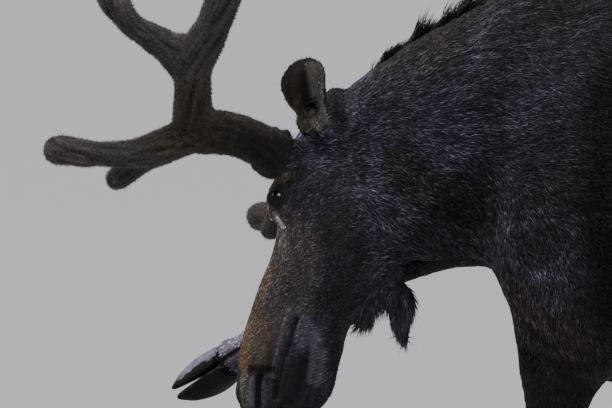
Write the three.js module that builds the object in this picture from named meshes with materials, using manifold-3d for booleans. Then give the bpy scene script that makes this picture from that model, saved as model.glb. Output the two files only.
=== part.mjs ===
// A bull moose in early-summer antler growth, life size: head lowered and turned a little away,
// the right foreleg lifted and stretched forward, the other three legs standing.
// Millimetres. +X runs forward to the head, +Y to the animal's left, +Z up, the floor at Z = 0.

import * as THREE from 'three';
import { mergeVertices } from 'three/addons/utils/BufferGeometryUtils.js';
import Module from 'manifold-3d';

const wasm = await Module();
wasm.setup();

// ---------------------------------------------------------------- driving dimensions
const GAP = 0.4;                    // clear space between two touching pieces
const SIDES = 12;                   // facets round a leg, the jaw or the bell
const BODY_SIDES = 16;              // facets round the trunk, neck and head
const TAIL_SIDES = 10;
const BEAM_SIDES = 10;
const TINE_SIDES = 9;
const SHOULDER_HEIGHT = 1950;       // top of the hump
const CHEST_BOTTOM = 1092;          // lowest line of the brisket
const CROUP_HEIGHT = 1755;
const FORELEG_CUT = 1050;           // forelegs leave the trunk here
const HINDLEG_CUT = 1030;           // hind legs leave the trunk here
const KNEE_HEIGHT = 585;
const HOCK_HEIGHT = 665;
const CORONET_HEIGHT = 84;          // top of a claw above its sole, at the front
const CORONET_HEEL = 48;            // the coronet's height at the heel
const CLAW_LENGTH = 152;
const CLAW_WIDTH = 46;
const CLEFT = 4;                    // half the cleft between a foot's two claws
const HEAD_PITCH = 70;              // degrees, nose down
const HEAD_ROLL = 14;               // degrees, left side up
const HEAD_YAW = -10;               // degrees, turned to the animal's right
const POLL = [-40, -60, 1625];      // where the skull meets the neck, origin of the head frame
const EYE_RADIUS = 20;
const EYE_SPOT = [219, 96, -22];    // left eye's centre in the head frame
const EYE_FACETS = [8, 6];          // round and down the eyeball
const BEAM_RADIUS = 40;             // antler beam in velvet

// ---------------------------------------------------------------- small vector helpers
const v3 = (a) => new THREE.Vector3(a[0], a[1], a[2]);
const power = (x, p) => Math.sign(x) * Math.abs(x) ** p;
const lerp = (a, b, t) => a + (b - a) * t;

// ---------------------------------------------------------------- shape builders
// One closed skin through rings of equal length. Each end is closed by a fan to its middle, or,
// for a crescent whose second half runs back along its first, by a strip between the two.
function skinRings(rings, crescent = false) {
  const count = rings[0].length;
  const points = rings.flat();
  const index = [];
  for (let r = 0; r + 1 < rings.length; r += 1) {
    for (let i = 0; i < count; i += 1) {
      const j = (i + 1) % count;
      const a = r * count + i;
      const b = r * count + j;
      const c = a + count;
      const d = b + count;
      index.push(a, c, b, b, c, d);
    }
  }
  const ends = [[0, false], [rings.length - 1, true]];
  for (const [r, last] of ends) {
    if (crescent) {
      for (let i = 0; i + 1 < count / 2; i += 1) {
        const a = r * count + i;
        const c = r * count + count - 2 - i;
        index.push(...(last ? [a, c, a + 1, a, c + 1, c] : [a, a + 1, c, a, c, c + 1]));
      }
      continue;
    }
    const middle = new THREE.Vector3();
    rings[r].forEach((p) => middle.addScaledVector(p, 1 / count));
    const m = points.push(middle) - 1;
    for (let i = 0; i < count; i += 1) {
      const j = (i + 1) % count;
      const a = r * count + i;
      const b = r * count + j;
      index.push(...(last ? [m, b, a] : [m, a, b]));
    }
  }
  return outward(fromPoints(points, index));
}

function fromPoints(points, index) {
  const geometry = new THREE.BufferGeometry();
  const flat = points.flatMap((p) => [p.x, p.y, p.z]);
  geometry.setAttribute('position', new THREE.Float32BufferAttribute(flat, 3));
  geometry.setIndex(index);
  return geometry;
}

// Signed volume decides which way the faces run, and they are turned outward.
function outward(geometry) {
  const p = geometry.attributes.position;
  const index = geometry.index.array;
  const a = new THREE.Vector3();
  const b = new THREE.Vector3();
  const c = new THREE.Vector3();
  let volume = 0;
  for (let i = 0; i < index.length; i += 3) {
    a.fromBufferAttribute(p, index[i]);
    b.fromBufferAttribute(p, index[i + 1]);
    c.fromBufferAttribute(p, index[i + 2]);
    volume += a.dot(b.cross(c));
  }
  if (volume < 0) {
    const turned = Array.from(index);
    for (let i = 0; i < turned.length; i += 3) {
      [turned[i + 1], turned[i + 2]] = [turned[i + 2], turned[i + 1]];
    }
    geometry.setIndex(turned);
  }
  return geometry;
}

// Catmull-Rom through equal-length number lists, spread evenly over the stations.
function blend(stations, t) {
  const last = stations.length - 1;
  const s = Math.min(Math.max(t, 0), 1) * last;
  const i = Math.min(Math.floor(s), last - 1);
  const u = s - i;
  const p0 = stations[Math.max(i - 1, 0)];
  const p1 = stations[i];
  const p2 = stations[i + 1];
  const p3 = stations[Math.min(i + 2, last)];
  return p1.map((value, k) => 0.5 * (2 * value + (p2[k] - p0[k]) * u
    + (2 * p0[k] - 5 * value + 4 * p2[k] - p3[k]) * u * u
    + (3 * value - p0[k] - 3 * p2[k] + p3[k]) * u * u * u));
}

// A body section. Station: upper point, lower point, half width, height of the widest line (0..1),
// upper and lower roundness (2 is an ellipse, less is peaked, more is boxy). The section's plane
// holds both points and leans with them.
function section(station, sides) {
  const [ux, uy, uz, lx, ly, lz, half, wide, roundUp, roundDown] = station;
  const upper = new THREE.Vector3(ux, uy, uz);
  const lower = new THREE.Vector3(lx, ly, lz);
  const up = upper.clone().sub(lower).normalize();
  const side = new THREE.Vector3(0, 1, 0).addScaledVector(up, -up.y).normalize();
  const middle = lower.clone().lerp(upper, wide);
  const above = upper.distanceTo(middle);
  const below = lower.distanceTo(middle);
  const ring = [];
  for (let i = 0; i < sides; i += 1) {
    const angle = (2 * Math.PI * i) / sides;
    const c = Math.cos(angle);
    const s = Math.sin(angle);
    const roundness = c >= 0 ? roundUp : roundDown;
    const reach = (c >= 0 ? above : below) * power(c, 2 / roundness);
    ring.push(middle.clone()
      .addScaledVector(up, reach)
      .addScaledVector(side, half * power(s, 2 / roundness)));
  }
  return ring;
}

const bodyLoft = (stations, sides) => skinRings(stations.map((station) => section(station, sides)));

// A tube of changing oval section along a path. Station: x, y, z, radius, flatness.
const TANGENT_STEP = 0.01;
function tube(stations, from, to, rings, sides) {
  const list = [];
  for (let k = 0; k < rings; k += 1) {
    const t = lerp(from, to, k / (rings - 1));
    const [x, y, z, radius, flat] = blend(stations, t);
    const before = v3(blend(stations, Math.max(t - TANGENT_STEP, 0)));
    const after = v3(blend(stations, Math.min(t + TANGENT_STEP, 1)));
    const along = after.sub(before).normalize();
    const u = new THREE.Vector3(0, 0, 1).addScaledVector(along, -along.z).normalize();
    const w = new THREE.Vector3().crossVectors(along, u);
    const ring = [];
    for (let i = 0; i < sides; i += 1) {
      const angle = (2 * Math.PI * i) / sides;
      ring.push(new THREE.Vector3(x, y, z)
        .addScaledVector(u, radius * Math.cos(angle))
        .addScaledVector(w, radius * flat * Math.sin(angle)));
    }
    list.push(ring);
  }
  return skinRings(list);
}

// A path with its last stretch closed by a half-round end, stopping a little short of the pole.
const END_STEPS = 3;
const END_REACH = (Math.PI / 2) * 0.93;
function roundedEnd(stations) {
  const last = stations[stations.length - 1];
  const previous = stations[stations.length - 2];
  const along = v3(last).sub(v3(previous)).normalize();
  const out = stations.slice();
  for (let k = 1; k <= END_STEPS; k += 1) {
    const angle = END_REACH * (k / END_STEPS);
    const p = v3(last).addScaledVector(along, last[3] * Math.sin(angle));
    out.push([p.x, p.y, p.z, last[3] * Math.cos(angle), last[4]]);
  }
  return out;
}

// A sphere stretched into an ellipsoid and set in place.
const FORM_FACETS = [9, 6];
function ellipsoid(centre, radii, turn) {
  const geometry = new THREE.SphereGeometry(1, ...FORM_FACETS);
  geometry.scale(radii[0], radii[1], radii[2]);
  const euler = new THREE.Euler(...turn.map(THREE.MathUtils.degToRad));
  geometry.applyMatrix4(new THREE.Matrix4().makeRotationFromEuler(euler));
  geometry.translate(centre[0], centre[1], centre[2]);
  return geometry;
}

// ---------------------------------------------------------------- joins and cuts
function solid(geometry) {
  const bare = geometry.clone();
  bare.deleteAttribute('normal');
  bare.deleteAttribute('uv');
  const merged = mergeVertices(bare, 1e-3);
  return new wasm.Manifold(new wasm.Mesh({
    numProp: 3,
    vertProperties: new Float32Array(merged.attributes.position.array),
    triVerts: new Uint32Array(merged.index.array),
  }));
}

const joined = (...geometries) => geometries.map(solid).reduce((sum, one) => sum.add(one));

function toGeometry(manifold) {
  const mesh = manifold.getMesh();
  const geometry = new THREE.BufferGeometry();
  geometry.setAttribute('position', new THREE.BufferAttribute(new Float32Array(mesh.vertProperties), 3));
  geometry.setIndex(new THREE.BufferAttribute(new Uint32Array(mesh.triVerts), 1));
  return geometry;
}

// A joined solid with its loose crumbs left out.
const largest = (manifold) => manifold.decompose().sort((a, b) => b.volume() - a.volume())[0];

// A large block whose near face passes through a point, filling the side its normal points to.
const BLOCK_SIZE = 6000;
function halfSpace(point, normal, offset) {
  const block = new THREE.BoxGeometry(BLOCK_SIZE, BLOCK_SIZE, BLOCK_SIZE);
  const direction = v3(normal).normalize();
  const turn = new THREE.Quaternion().setFromUnitVectors(new THREE.Vector3(0, 0, 1), direction);
  const centre = v3(point).addScaledVector(direction, BLOCK_SIZE / 2 + offset);
  block.applyMatrix4(new THREE.Matrix4().makeRotationFromQuaternion(turn));
  block.translate(centre.x, centre.y, centre.z);
  return solid(block);
}

// ---------------------------------------------------------------- materials
const paint = (color, roughness) => new THREE.MeshStandardMaterial({ color, roughness, metalness: 0 });
const coatDark = () => paint(0x241d1a, 0.85);
const coatLeg = () => paint(0x3a2f29, 0.85);
const coatPale = () => paint(0x6f6460, 0.85);
const velvet = () => paint(0x43322a, 0.9);
const horn = () => paint(0x2c2a2f, 0.5);
const eyeDark = () => paint(0x0a0807, 0.08);

const moose = new THREE.Group();
moose.name = 'moose';

function place(parent, name, geometry, material) {
  const mesh = new THREE.Mesh(geometry, material);
  mesh.name = name;
  parent.add(mesh);
  return mesh;
}

// ---------------------------------------------------------------- trunk
const TRUNK = [
  // upper x, y, z, lower x, y, z, half width, widest at, round up, round down
  [-352, 0, 1500, -352, 0, 1345, 70, 0.50, 2.0, 2.0],
  [-378, 0, 1590, -372, 0, 1293, 135, 0.48, 2.0, 2.0],
  [-412, 0, 1690, -402, 0, 1232, 188, 0.46, 2.0, 2.1],
  [-470, 0, 1800, -455, 0, 1150, 222, 0.45, 1.8, 2.2],
  [-560, 0, 1905, -545, 0, 1106, 246, 0.44, 1.7, 2.2],
  [-650, 0, 1939, -642, 0, CHEST_BOTTOM + 2, 258, 0.43, 1.6, 2.2],
  [-735, 0, SHOULDER_HEIGHT, -730, 0, CHEST_BOTTOM, 271, 0.43, 1.6, 2.2],
  [-850, 0, 1915, -850, 0, CHEST_BOTTOM - 3, 282, 0.43, 1.7, 2.2],
  [-985, 0, 1842, -985, 0, CHEST_BOTTOM + 1, 294, 0.44, 1.9, 2.1],
  [-1160, 0, 1787, -1160, 0, 1098, 300, 0.46, 2.0, 2.1],
  [-1335, 0, 1762, -1335, 0, 1128, 288, 0.49, 2.0, 2.0],
  [-1490, 0, 1757, -1490, 0, 1172, 268, 0.53, 2.0, 2.0],
  [-1640, 0, CROUP_HEIGHT, -1630, 0, 1210, 252, 0.55, 2.0, 2.0],
  [-1785, 0, 1720, -1765, 0, 1240, 226, 0.55, 2.0, 2.0],
  [-1907, 0, 1650, -1882, 0, 1290, 176, 0.54, 2.0, 2.0],
  [-1972, 0, 1560, -1955, 0, 1370, 96, 0.52, 2.0, 2.0],
];

// ---------------------------------------------------------------- neck
const NECK_CUT_AT = 2 / 7;          // station where the neck is parted from the trunk
const NECK = [
  [-690, 0, 1938, -560, 0, 1215, 150, 0.48, 1.7, 2.0],
  [-520, 0, 1918, -425, 0, 1262, 186, 0.46, 1.7, 2.1],
  [-395, -2, 1857, -338, 2, 1322, 170, 0.46, 1.7, 2.0],
  [-300, -12, 1800, -274, 6, 1320, 155, 0.47, 1.8, 2.0],
  [-215, -28, 1752, -222, 14, 1318, 142, 0.48, 1.9, 2.0],
  [-140, -44, 1698, -178, 26, 1322, 128, 0.50, 2.0, 2.0],
  [-92, -52, 1661, -140, 30, 1338, 106, 0.52, 2.0, 2.0],
  [-66, -52, 1642, -110, 26, 1390, 72, 0.52, 2.2, 2.0],
];

// ---------------------------------------------------------------- legs, stations run downward
// A leg section's "upper" point is its front and the "lower" one its back.
const legStation = (z, front, back, y, half, round = 2.2) => [
  front, y, z, back, y, z, half, 0.5, round, round,
];

// Standing left foreleg, slanting in under the chest.
const FORE_TOP = [
  [-440, 150, 1500, -640, 150, 1500, 60, 0.5, 2, 2],
  [-422, 158, 1390, -680, 160, 1390, 82, 0.5, 2, 2],
  [-416, 160, 1270, -690, 163, 1290, 86, 0.5, 2, 2],
  [-428, 156, 1170, -632, 156, 1170, 84, 0.5, 2.1, 2.1],
  [-440, 148, 1105, -586, 148, 1105, 76, 0.5, 2.2, 2.2],
  [-446, 142, FORELEG_CUT, -562, 142, FORELEG_CUT, 66, 0.5, 2.2, 2.2],
];
const FORE_LEFT = [
  legStation(FORELEG_CUT - GAP, -446, -562, 142, 66),
  legStation(960, -444, -550, 130, 58),
  legStation(860, -439, -535, 115, 51),
  legStation(760, -432, -522, 99, 46),
  legStation(680, -424, -514, 88, 46),
  legStation(KNEE_HEIGHT + 35, -416, -516, 79, 49),
  legStation(KNEE_HEIGHT - 15, -414, -512, 72, 48),
  legStation(530, -422, -502, 66, 41),
];
const FORE_LEFT_LOW = [
  legStation(530 - GAP, -422, -502, 66, 41),
  legStation(480, -427, -497, 59, 33),
  legStation(400, -429, -493, 49, 29),
  legStation(310, -428, -493, 38, 29),
  legStation(240, -420, -499, 31, 35),
  legStation(198, -409, -500, 27, 41),
  legStation(155, -392, -480, 25, 40),
  legStation(126, -376, -470, 24, 44),
];

// Hind legs, both standing; listed for the left side.
const HIND_TOP = [
  [-1480, 120, 1560, -1880, 120, 1560, 90, 0.5, 2, 2],
  [-1440, 150, 1420, -1930, 150, 1440, 112, 0.5, 2, 2],
  [-1420, 168, 1290, -1910, 172, 1300, 112, 0.5, 2, 2],
  [-1432, 184, 1180, -1870, 186, 1180, 102, 0.5, 2.1, 2.1],
  [-1460, 196, 1100, -1832, 196, 1100, 92, 0.5, 2.2, 2.2],
  [-1492, 203, HINDLEG_CUT, -1806, 203, HINDLEG_CUT, 82, 0.5, 2.2, 2.2],
];
const HIND_LEFT = [
  legStation(HINDLEG_CUT - GAP, -1492, -1806, 203, 82),
  legStation(960, -1536, -1792, 210, 72),
  legStation(880, -1594, -1796, 216, 61),
  legStation(800, -1658, -1826, 221, 52),
  legStation(730, -1718, -1878, 225, 47),
  legStation(HOCK_HEIGHT, -1754, -1908, 228, 45),
  legStation(610, -1772, -1898, 230, 43),
  legStation(560, -1782, -1882, 231, 38),
];
const HIND_LEFT_LOW = [
  legStation(560 - GAP, -1782, -1882, 231, 38),
  legStation(490, -1792, -1872, 233, 32),
  legStation(400, -1797, -1867, 234, 29),
  legStation(310, -1796, -1866, 235, 30),
  legStation(240, -1786, -1870, 236, 36),
  legStation(198, -1772, -1868, 236, 42),
  legStation(155, -1752, -1848, 236, 41),
  legStation(126, -1736, -1836, 236, 44),
];

// Lifted right foreleg: the forearm rises forward, the cannon slants down and forward.
// Stations are given as centre, direction of travel in the XZ plane, and the two half sizes.
const liftedStation = (x, z, slope, y, deep, half, round = 2.2) => {
  const angle = THREE.MathUtils.degToRad(slope);
  const dx = -Math.sin(angle) * deep;
  const dz = Math.cos(angle) * deep;
  return [x + dx, y, z + dz, x - dx, y, z - dz, half, 0.5, round, round];
};
const LIFT_TOP = [
  liftedStation(-760, 1330, 4, -160, 110, 60),
  liftedStation(-680, 1268, 10, -168, 130, 82),
  liftedStation(-590, 1256, 16, -176, 112, 84),
  liftedStation(-500, 1270, 20, -184, 86, 76),
  liftedStation(-430, 1294, 22, -189, 68, 62),
];
const LIFT_FOREARM = [
  liftedStation(-430 + GAP, 1294, 22, -189, 68, 62),
  liftedStation(-392, 1309, 20, -191, 59, 56),
  liftedStation(-356, 1323, 12, -192, 52, 50),
  liftedStation(-322, 1330, -2, -193, 48, 47),
  liftedStation(-286, 1327, -14, -193, 46, 46),
  liftedStation(-246, 1314, -20, -194, 38, 39),
];
const LIFT_CANNON = [
  liftedStation(-246 + GAP, 1314, -20, -194, 38, 39),
  liftedStation(-200, 1297, -21, -194, 34, 33),
  liftedStation(-130, 1268, -22, -194, 31, 29),
  liftedStation(-55, 1236, -23, -193, 32, 30),
  liftedStation(0, 1212, -25, -190, 38, 35),
  liftedStation(40, 1192, -27, -185, 41, 39),
  liftedStation(80, 1169, -29, -179, 38, 38),
  liftedStation(118, 1146, -32, -173, 38, 38),
];

// ---------------------------------------------------------------- head, in its own frame
// x runs from the poll to the nose, y to the left, z out of the forehead.
const headStation = (n, top, bottom, half, wide, up = 2.0, down = 2.0) => [
  n, 0, top, n, 0, bottom, half, wide, up, down,
];
const SKULL = [
  headStation(-30, -36, -110, 42, 0.55),
  headStation(-15, 4, -150, 70, 0.58, 2.2),
  headStation(20, 18, -196, 88, 0.60, 2.2),
  headStation(70, 26, -232, 98, 0.60, 2.3),
  headStation(125, 30, -256, 104, 0.60, 2.4, 2.3),
  headStation(180, 27, -268, 108, 0.60, 2.3, 2.4),
  headStation(230, 8, -270, 106, 0.60, 2.2, 2.4),
  headStation(280, -14, -258, 93, 0.58, 2.2, 2.3),
  headStation(330, -22, -238, 78, 0.57, 2.2, 2.2),
  headStation(385, -23, -214, 68, 0.55, 2.3),
  headStation(440, -28, -204, 67, 0.50, 2.3, 2.3),
  headStation(495, -37, -206, 78, 0.46, 2.3, 2.4),
  headStation(545, -52, -211, 87, 0.44, 2.3, 2.5),
  headStation(595, -79, -209, 87, 0.45, 2.3, 2.5),
  headStation(632, -112, -200, 72, 0.48, 2.2, 2.3),
  headStation(655, -142, -180, 38, 0.50),
];
const JAW = [
  headStation(330, -150, -236, 54, 0.5),
  headStation(385, -160, -220, 50, 0.5),
  headStation(430, -165, -224, 47, 0.5),
  headStation(470, -170, -230, 47, 0.5),
  headStation(510, -175, -238, 48, 0.5),
  headStation(545, -178, -236, 45, 0.5),
  headStation(572, -180, -222, 36, 0.5),
  headStation(586, -186, -204, 18, 0.5),
];
const JAW_CUT_AT = 0.285;           // share of the jaw that stays with the head
const JAW_ROOT = 0.05;              // how far the head's share runs on under the cut
// Soft forms of the left side: the orbit round the eye and the swelling of the nostril.
const ORBIT = { spot: [212, 78, -34], radii: [62, 36, 43], turn: [0, 0, -6] };
const NOSTRIL = { spot: [574, 62, -118], radii: [40, 27, 34], turn: [0, 24, 0] };
// The plane where the head is parted from the neck, facing forward.
const NAPE_SPOT = [-92, -40, 1640];
const NAPE_NORMAL = [0.93, 0.05, -0.366];

// ---------------------------------------------------------------- bell, the throat's hanging skin
// Its sections run along the jaw line, from a front edge to a back edge.
const bellStation = (frontX, frontZ, backX, backZ, half) => [
  frontX, 24, frontZ, backX, 24, backZ, half, 0.5, 2, 2,
];
const BELL_STUB = [
  bellStation(-40, 1250, -160, 1370, 34),
  bellStation(-78, 1215, -192, 1335, 32),
  bellStation(-108, 1188, -214, 1305, 26),
];
const BELL = [
  bellStation(-108 - GAP * 0.8, 1188 - GAP * 0.8, -214 - GAP * 0.8, 1305 - GAP * 0.8, 26),
  bellStation(-124, 1179, -222, 1282, 25),
  bellStation(-142, 1173, -223, 1253, 22),
  bellStation(-158, 1168, -219, 1222, 18),
  bellStation(-174, 1160, -213, 1192, 13),
  bellStation(-188, 1152, -205, 1165, 7),
];

const TAIL = [
  [-1910, 0, 1640, -1910, 0, 1560, 40, 0.5, 2, 2],
  [-1978, 0, 1618, -1970, 0, 1540, 36, 0.5, 2, 2],
  [-2002, 0, 1586, -1984, 0, 1516, 29, 0.5, 2, 2],
  [-2014, 0, 1548, -1992, 0, 1492, 22, 0.5, 2, 2],
  [-2014, 0, 1508, -2000, 0, 1480, 12, 0.5, 2, 2],
];
const TAIL_CUT = [-1980, 0, 1580];  // where the tail leaves the rump
const TAIL_CUT_NORMAL = [-1, 0, -0.25];

// ---------------------------------------------------------------- antlers, left one, head frame
// Station: x, y, z, radius, flatness across.
const BEAM = [
  [136, 60, -10, 36, 1],
  [141, 92, -4, 40, 1],
  [143, 122, 4, 44, 1],
  [139, 160, 24, BEAM_RADIUS, 1],
  [137, 220, 48, BEAM_RADIUS, 1],
  [146, 280, 66, 42, 1],
  [157, 335, 78, 43, 1],
  [163, 372, 91, 35, 1],
];
const BURR_AT = 2 / 7;
const FRONT_TINE = [
  [154, 322, 73, 33, 1],
  [188, 362, 95, 34, 1],
  [230, 402, 126, 31, 1],
  [258, 440, 164, 25, 1],
  [277, 478, 205, 26, 1],
  [289, 508, 238, 28, 1],
];
const LOWER_TINE = [
  [187, 330, 97, 26, 1],
  [214, 332, 123, 26, 1],
  [237, 341, 143, 25, 1],
  [266, 358, 158, 23.5, 1],
  [298, 378, 169, 23, 1],
];
const STEM = [
  [167, 322, 76, 36, 1],
  [142, 362, 82, 39, 1],
  [115, 396, 81, 36, 1],
  [89, 424, 81, 34.5, 1],
  [62, 446, 85, 37, 1],
  [35, 462, 97, 40, 1],
];
const FRONT_BRANCH = [
  [59, 450, 95, 33, 1],
  [41, 478, 130, 31, 1],
  [34, 508, 158, 26, 1],
  [28, 530, 188, 24, 1],
  [8, 552, 223, 26.5, 1],
  [-26, 566, 261, 29, 1],
  [-54, 574, 294, 31.5, 1],
];
const REAR_BRANCH = [
  [55, 448, 86, 34, 1],
  [15, 474, 73, 36, 1],
  [-31, 498, 58, 32, 1],
  [-76, 526, 47, 33, 1],
  [-123, 548, 44, 36.5, 0.95],
  [-165, 562, 46, 38, 0.9],
];
// The webbing that rounds the fork between the two branches.
const FORK_WEB = { spot: [24, 469, 111], radii: [24, 20, 24], turn: [0, 0, 0] };
// The right antler has grown a little differently: a longer brow tine, a shorter front branch.
const FRONT_TINE_RIGHT = FRONT_TINE.map(([x, y, z, radius, flat], k) => [
  x, y, z + k * 4, radius + (k > 3 ? 3 : 0), flat,
]);
const FRONT_BRANCH_RIGHT = [
  [59, 450, 95, 33, 1],
  [38, 476, 126, 33, 1],
  [27, 498, 154, 31, 1],
  [20, 514, 176, 30, 1],
];

// ================================================================ trunk, neck and head solids
const headTurn = new THREE.Matrix4().makeRotationFromEuler(new THREE.Euler(
  THREE.MathUtils.degToRad(HEAD_ROLL),
  THREE.MathUtils.degToRad(HEAD_PITCH),
  THREE.MathUtils.degToRad(HEAD_YAW),
  'ZXY',
));
const headPlace = headTurn.clone().setPosition(...POLL);

const flipY = (stations) => stations.map((s) => {
  const out = s.slice();
  out[1] = -out[1];
  if (out.length > 5) out[4] = -out[4];
  return out;
});

const neckRings = (from, to, count, shift = 0) => {
  const list = [];
  for (let k = 0; k < count; k += 1) {
    const ring = section(blend(NECK, lerp(from, to, k / (count - 1))), BODY_SIDES);
    if (k === 0) ring.forEach((p) => p.add(new THREE.Vector3(shift, 0, 0)));
    list.push(ring);
  }
  return skinRings(list);
};

const trunkSolid = joined(
  bodyLoft(TRUNK, BODY_SIDES),
  neckRings(0, NECK_CUT_AT, 4),
  bodyLoft(FORE_TOP, SIDES),
  bodyLoft(HIND_TOP, SIDES),
  bodyLoft(flipY(HIND_TOP), SIDES),
  bodyLoft(LIFT_TOP, SIDES),
);
const tailLoft = solid(bodyLoft(TAIL, TAIL_SIDES));
const tailBack = halfSpace(TAIL_CUT, TAIL_CUT_NORMAL, 0);
const tailFront = halfSpace(TAIL_CUT, TAIL_CUT_NORMAL.map((c) => -c), GAP);
const tail = tailLoft.intersect(tailBack).subtract(trunkSolid);
const trunk = trunkSolid.add(tailLoft.intersect(tailFront));

// An ellipsoid given for the left side, set on either side.
const formOn = ({ spot, radii, turn }, side) => ellipsoid(
  [spot[0], side * spot[1], spot[2]],
  radii,
  [turn[0], turn[1], side * turn[2]],
);
const bothSides = (form) => [formOn(form, 1), formOn(form, -1)];
const pedicles = [1, -1].map((side) => tube(
  side > 0 ? BEAM : flipY(BEAM), 0, BURR_AT, 3, BEAM_SIDES,
));
const headWorld = (geometry) => geometry.clone().applyMatrix4(headPlace);

// A stretch of the jaw, made larger all round by the given amount.
const jawRings = (from, to, count, grow) => skinRings(
  Array.from({ length: count }, (_, k) => {
    const station = blend(JAW, lerp(from, to, k / (count - 1)));
    const ends = { 0: -grow, [count - 1]: grow };
    station[0] += ends[k] ?? 0;
    station[3] += ends[k] ?? 0;
    station[2] += grow;
    station[5] -= grow;
    station[6] += grow;
    return section(station, SIDES);
  }),
);

const headSolid = joined(
  headWorld(bodyLoft(SKULL, BODY_SIDES)),
  ...bothSides(ORBIT).map(headWorld),
  ...bothSides(NOSTRIL).map(headWorld),
  ...pedicles.map(headWorld),
  headWorld(jawRings(0, JAW_CUT_AT + JAW_ROOT, 3, 0)),
  neckRings(NECK_CUT_AT, 1, 8, GAP),
  bodyLoft(BELL_STUB, SIDES),
);
const jawHole = solid(headWorld(jawRings(JAW_CUT_AT, 1, 6, GAP)));
const eyeball = (grow) => new THREE.SphereGeometry(EYE_RADIUS + grow, ...EYE_FACETS);
const eyeSpot = (side) => [EYE_SPOT[0], side * EYE_SPOT[1], EYE_SPOT[2]];
const socket = (side) => solid(headWorld(eyeball(GAP).translate(...eyeSpot(side))));
const head = headSolid
  .intersect(halfSpace(NAPE_SPOT, NAPE_NORMAL, GAP / 2))
  .subtract(jawHole)
  .subtract(socket(1))
  .subtract(socket(-1));
const trunkAhead = solid(toGeometry(trunk).translate(GAP, 0, 0));
const behindNape = halfSpace(NAPE_SPOT, NAPE_NORMAL.map((c) => -c), GAP / 2);
const neck = headSolid.intersect(behindNape).subtract(trunkAhead);

place(moose, 'trunk', toGeometry(trunk), coatDark());
place(moose, 'tail', toGeometry(tail), coatDark());
place(moose, 'neck', toGeometry(neck), coatDark());
place(moose, 'head', toGeometry(head), coatDark());
place(moose, 'bell', bodyLoft(BELL, SIDES), coatDark());

// ================================================================ pieces carried by the head
const headFrame = new THREE.Group();
headFrame.name = 'head_frame';
headFrame.applyMatrix4(headPlace);
moose.add(headFrame);
place(headFrame, 'lower_jaw', jawRings(JAW_CUT_AT, 1, 6, 0), coatDark());

const BOTH = [['left', 1], ['right', -1]];
for (const [name, side] of BOTH) {
  place(headFrame, `eye_${name}`, eyeball(0), eyeDark()).position.set(...eyeSpot(side));
}

// An ear is a leaf-shaped cup: each cross section is a thick crescent open toward the front.
// Local x runs from base to tip, z is the open side, y across.
const EAR_RINGS = 10;
const EAR_STEPS = 6;                // facets round the cup
const EAR_RIM = 7;                  // degrees by which the hollow stops short of the rim
const EAR_SECTIONS = [
  // along, radius across, depth, half opening angle, wall, lean of the section's centre
  [0, 26, 25, 170, 9, 2],
  [29, 30, 27, 154, 9, 6],
  [64, 27, 32, 130, 8, 3],
  [106, 38, 34, 110, 8, 10],
  [147, 42, 31, 97, 7, 12],
  [181, 38, 24, 88, 7, 6],
  [204, 29, 17, 80, 6, 1],
  [217, 14, 10, 72, 5, -3],
];
function earCup() {
  const rings = Array.from({ length: EAR_RINGS }, (_, k) => {
    const [x, across, deep, opening, wall, lean] = blend(EAR_SECTIONS, k / (EAR_RINGS - 1));
    const arc = (half, wide, tall) => Array.from({ length: EAR_STEPS + 1 }, (__, i) => {
      const angle = THREE.MathUtils.degToRad(lerp(-half, half, i / EAR_STEPS));
      return new THREE.Vector3(x, wide * Math.sin(angle) + lean, -tall * Math.cos(angle));
    });
    const hollow = arc(opening - EAR_RIM, across - wall, deep - wall);
    return [...arc(opening, across, deep), ...hollow.reverse()];
  });
  return skinRings(rings, true);
}
const EAR_BASE = [74.5, 98, -39];
const EAR_AXIS = [-0.522, 0.853, -0.018];
const EAR_OPEN = [0.748, 0.448, -0.489];
for (const [name, side] of BOTH) {
  const along = v3(EAR_AXIS).normalize();
  const open = v3(EAR_OPEN).addScaledVector(along, -v3(EAR_OPEN).dot(along)).normalize();
  const across = new THREE.Vector3().crossVectors(open, along);
  const basis = new THREE.Matrix4().makeBasis(along, across, open).setPosition(...EAR_BASE);
  const cup = earCup().applyMatrix4(basis);
  const sided = side > 0 ? cup : outward(cup.scale(1, -1, 1));
  const clear = solid(headWorld(sided)).subtract(head).subtract(neck);
  place(moose, `ear_${name}`, toGeometry(largest(clear)), coatDark());
}

// Antler pieces: the beam keeps every root, and each branch starts a gap beyond its root.
// A root is given as the share of its branch that stays with the piece below.
const ROOT_SHARE = { frontTine: 0.375, lowerTine: 0.40, stem: 0.42, branch: 0.30 };
function antlerPieces(side, frontTine, frontBranch) {
  const sided = (stations) => (side > 0 ? stations : flipY(stations));
  const parted = (stations, share, rings, sides = TINE_SIDES) => {
    const length = new THREE.CatmullRomCurve3(stations.map(v3)).getLength();
    const start = share + (GAP * 1.2) / length;
    return [tube(stations, 0, share, 3, sides), tube(stations, start, 1, rings, sides)];
  };
  const tipped = (stations) => sided(roundedEnd(stations));
  const [tineRoot, tine] = parted(tipped(frontTine), ROOT_SHARE.frontTine, 7);
  const [lowRoot, low] = parted(tipped(LOWER_TINE), ROOT_SHARE.lowerTine, 6, TINE_SIDES - 1);
  const [stemRoot, stem] = parted(sided(STEM), ROOT_SHARE.stem, 6);
  const [frontRoot, front] = parted(tipped(frontBranch), ROOT_SHARE.branch, 8);
  const [rearRoot, rear] = parted(tipped(REAR_BRANCH), ROOT_SHARE.branch, 8);
  const beam = tube(sided(BEAM), BURR_AT + 0.0015, 1, 6, BEAM_SIDES);
  return {
    beam: joined(beam, tineRoot, lowRoot, stemRoot),
    front_tine: solid(tine),
    lower_tine: solid(low),
    stem: joined(stem, frontRoot, rearRoot, formOn(FORK_WEB, side)),
    front_branch: solid(front),
    rear_branch: solid(rear),
  };
}
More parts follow.
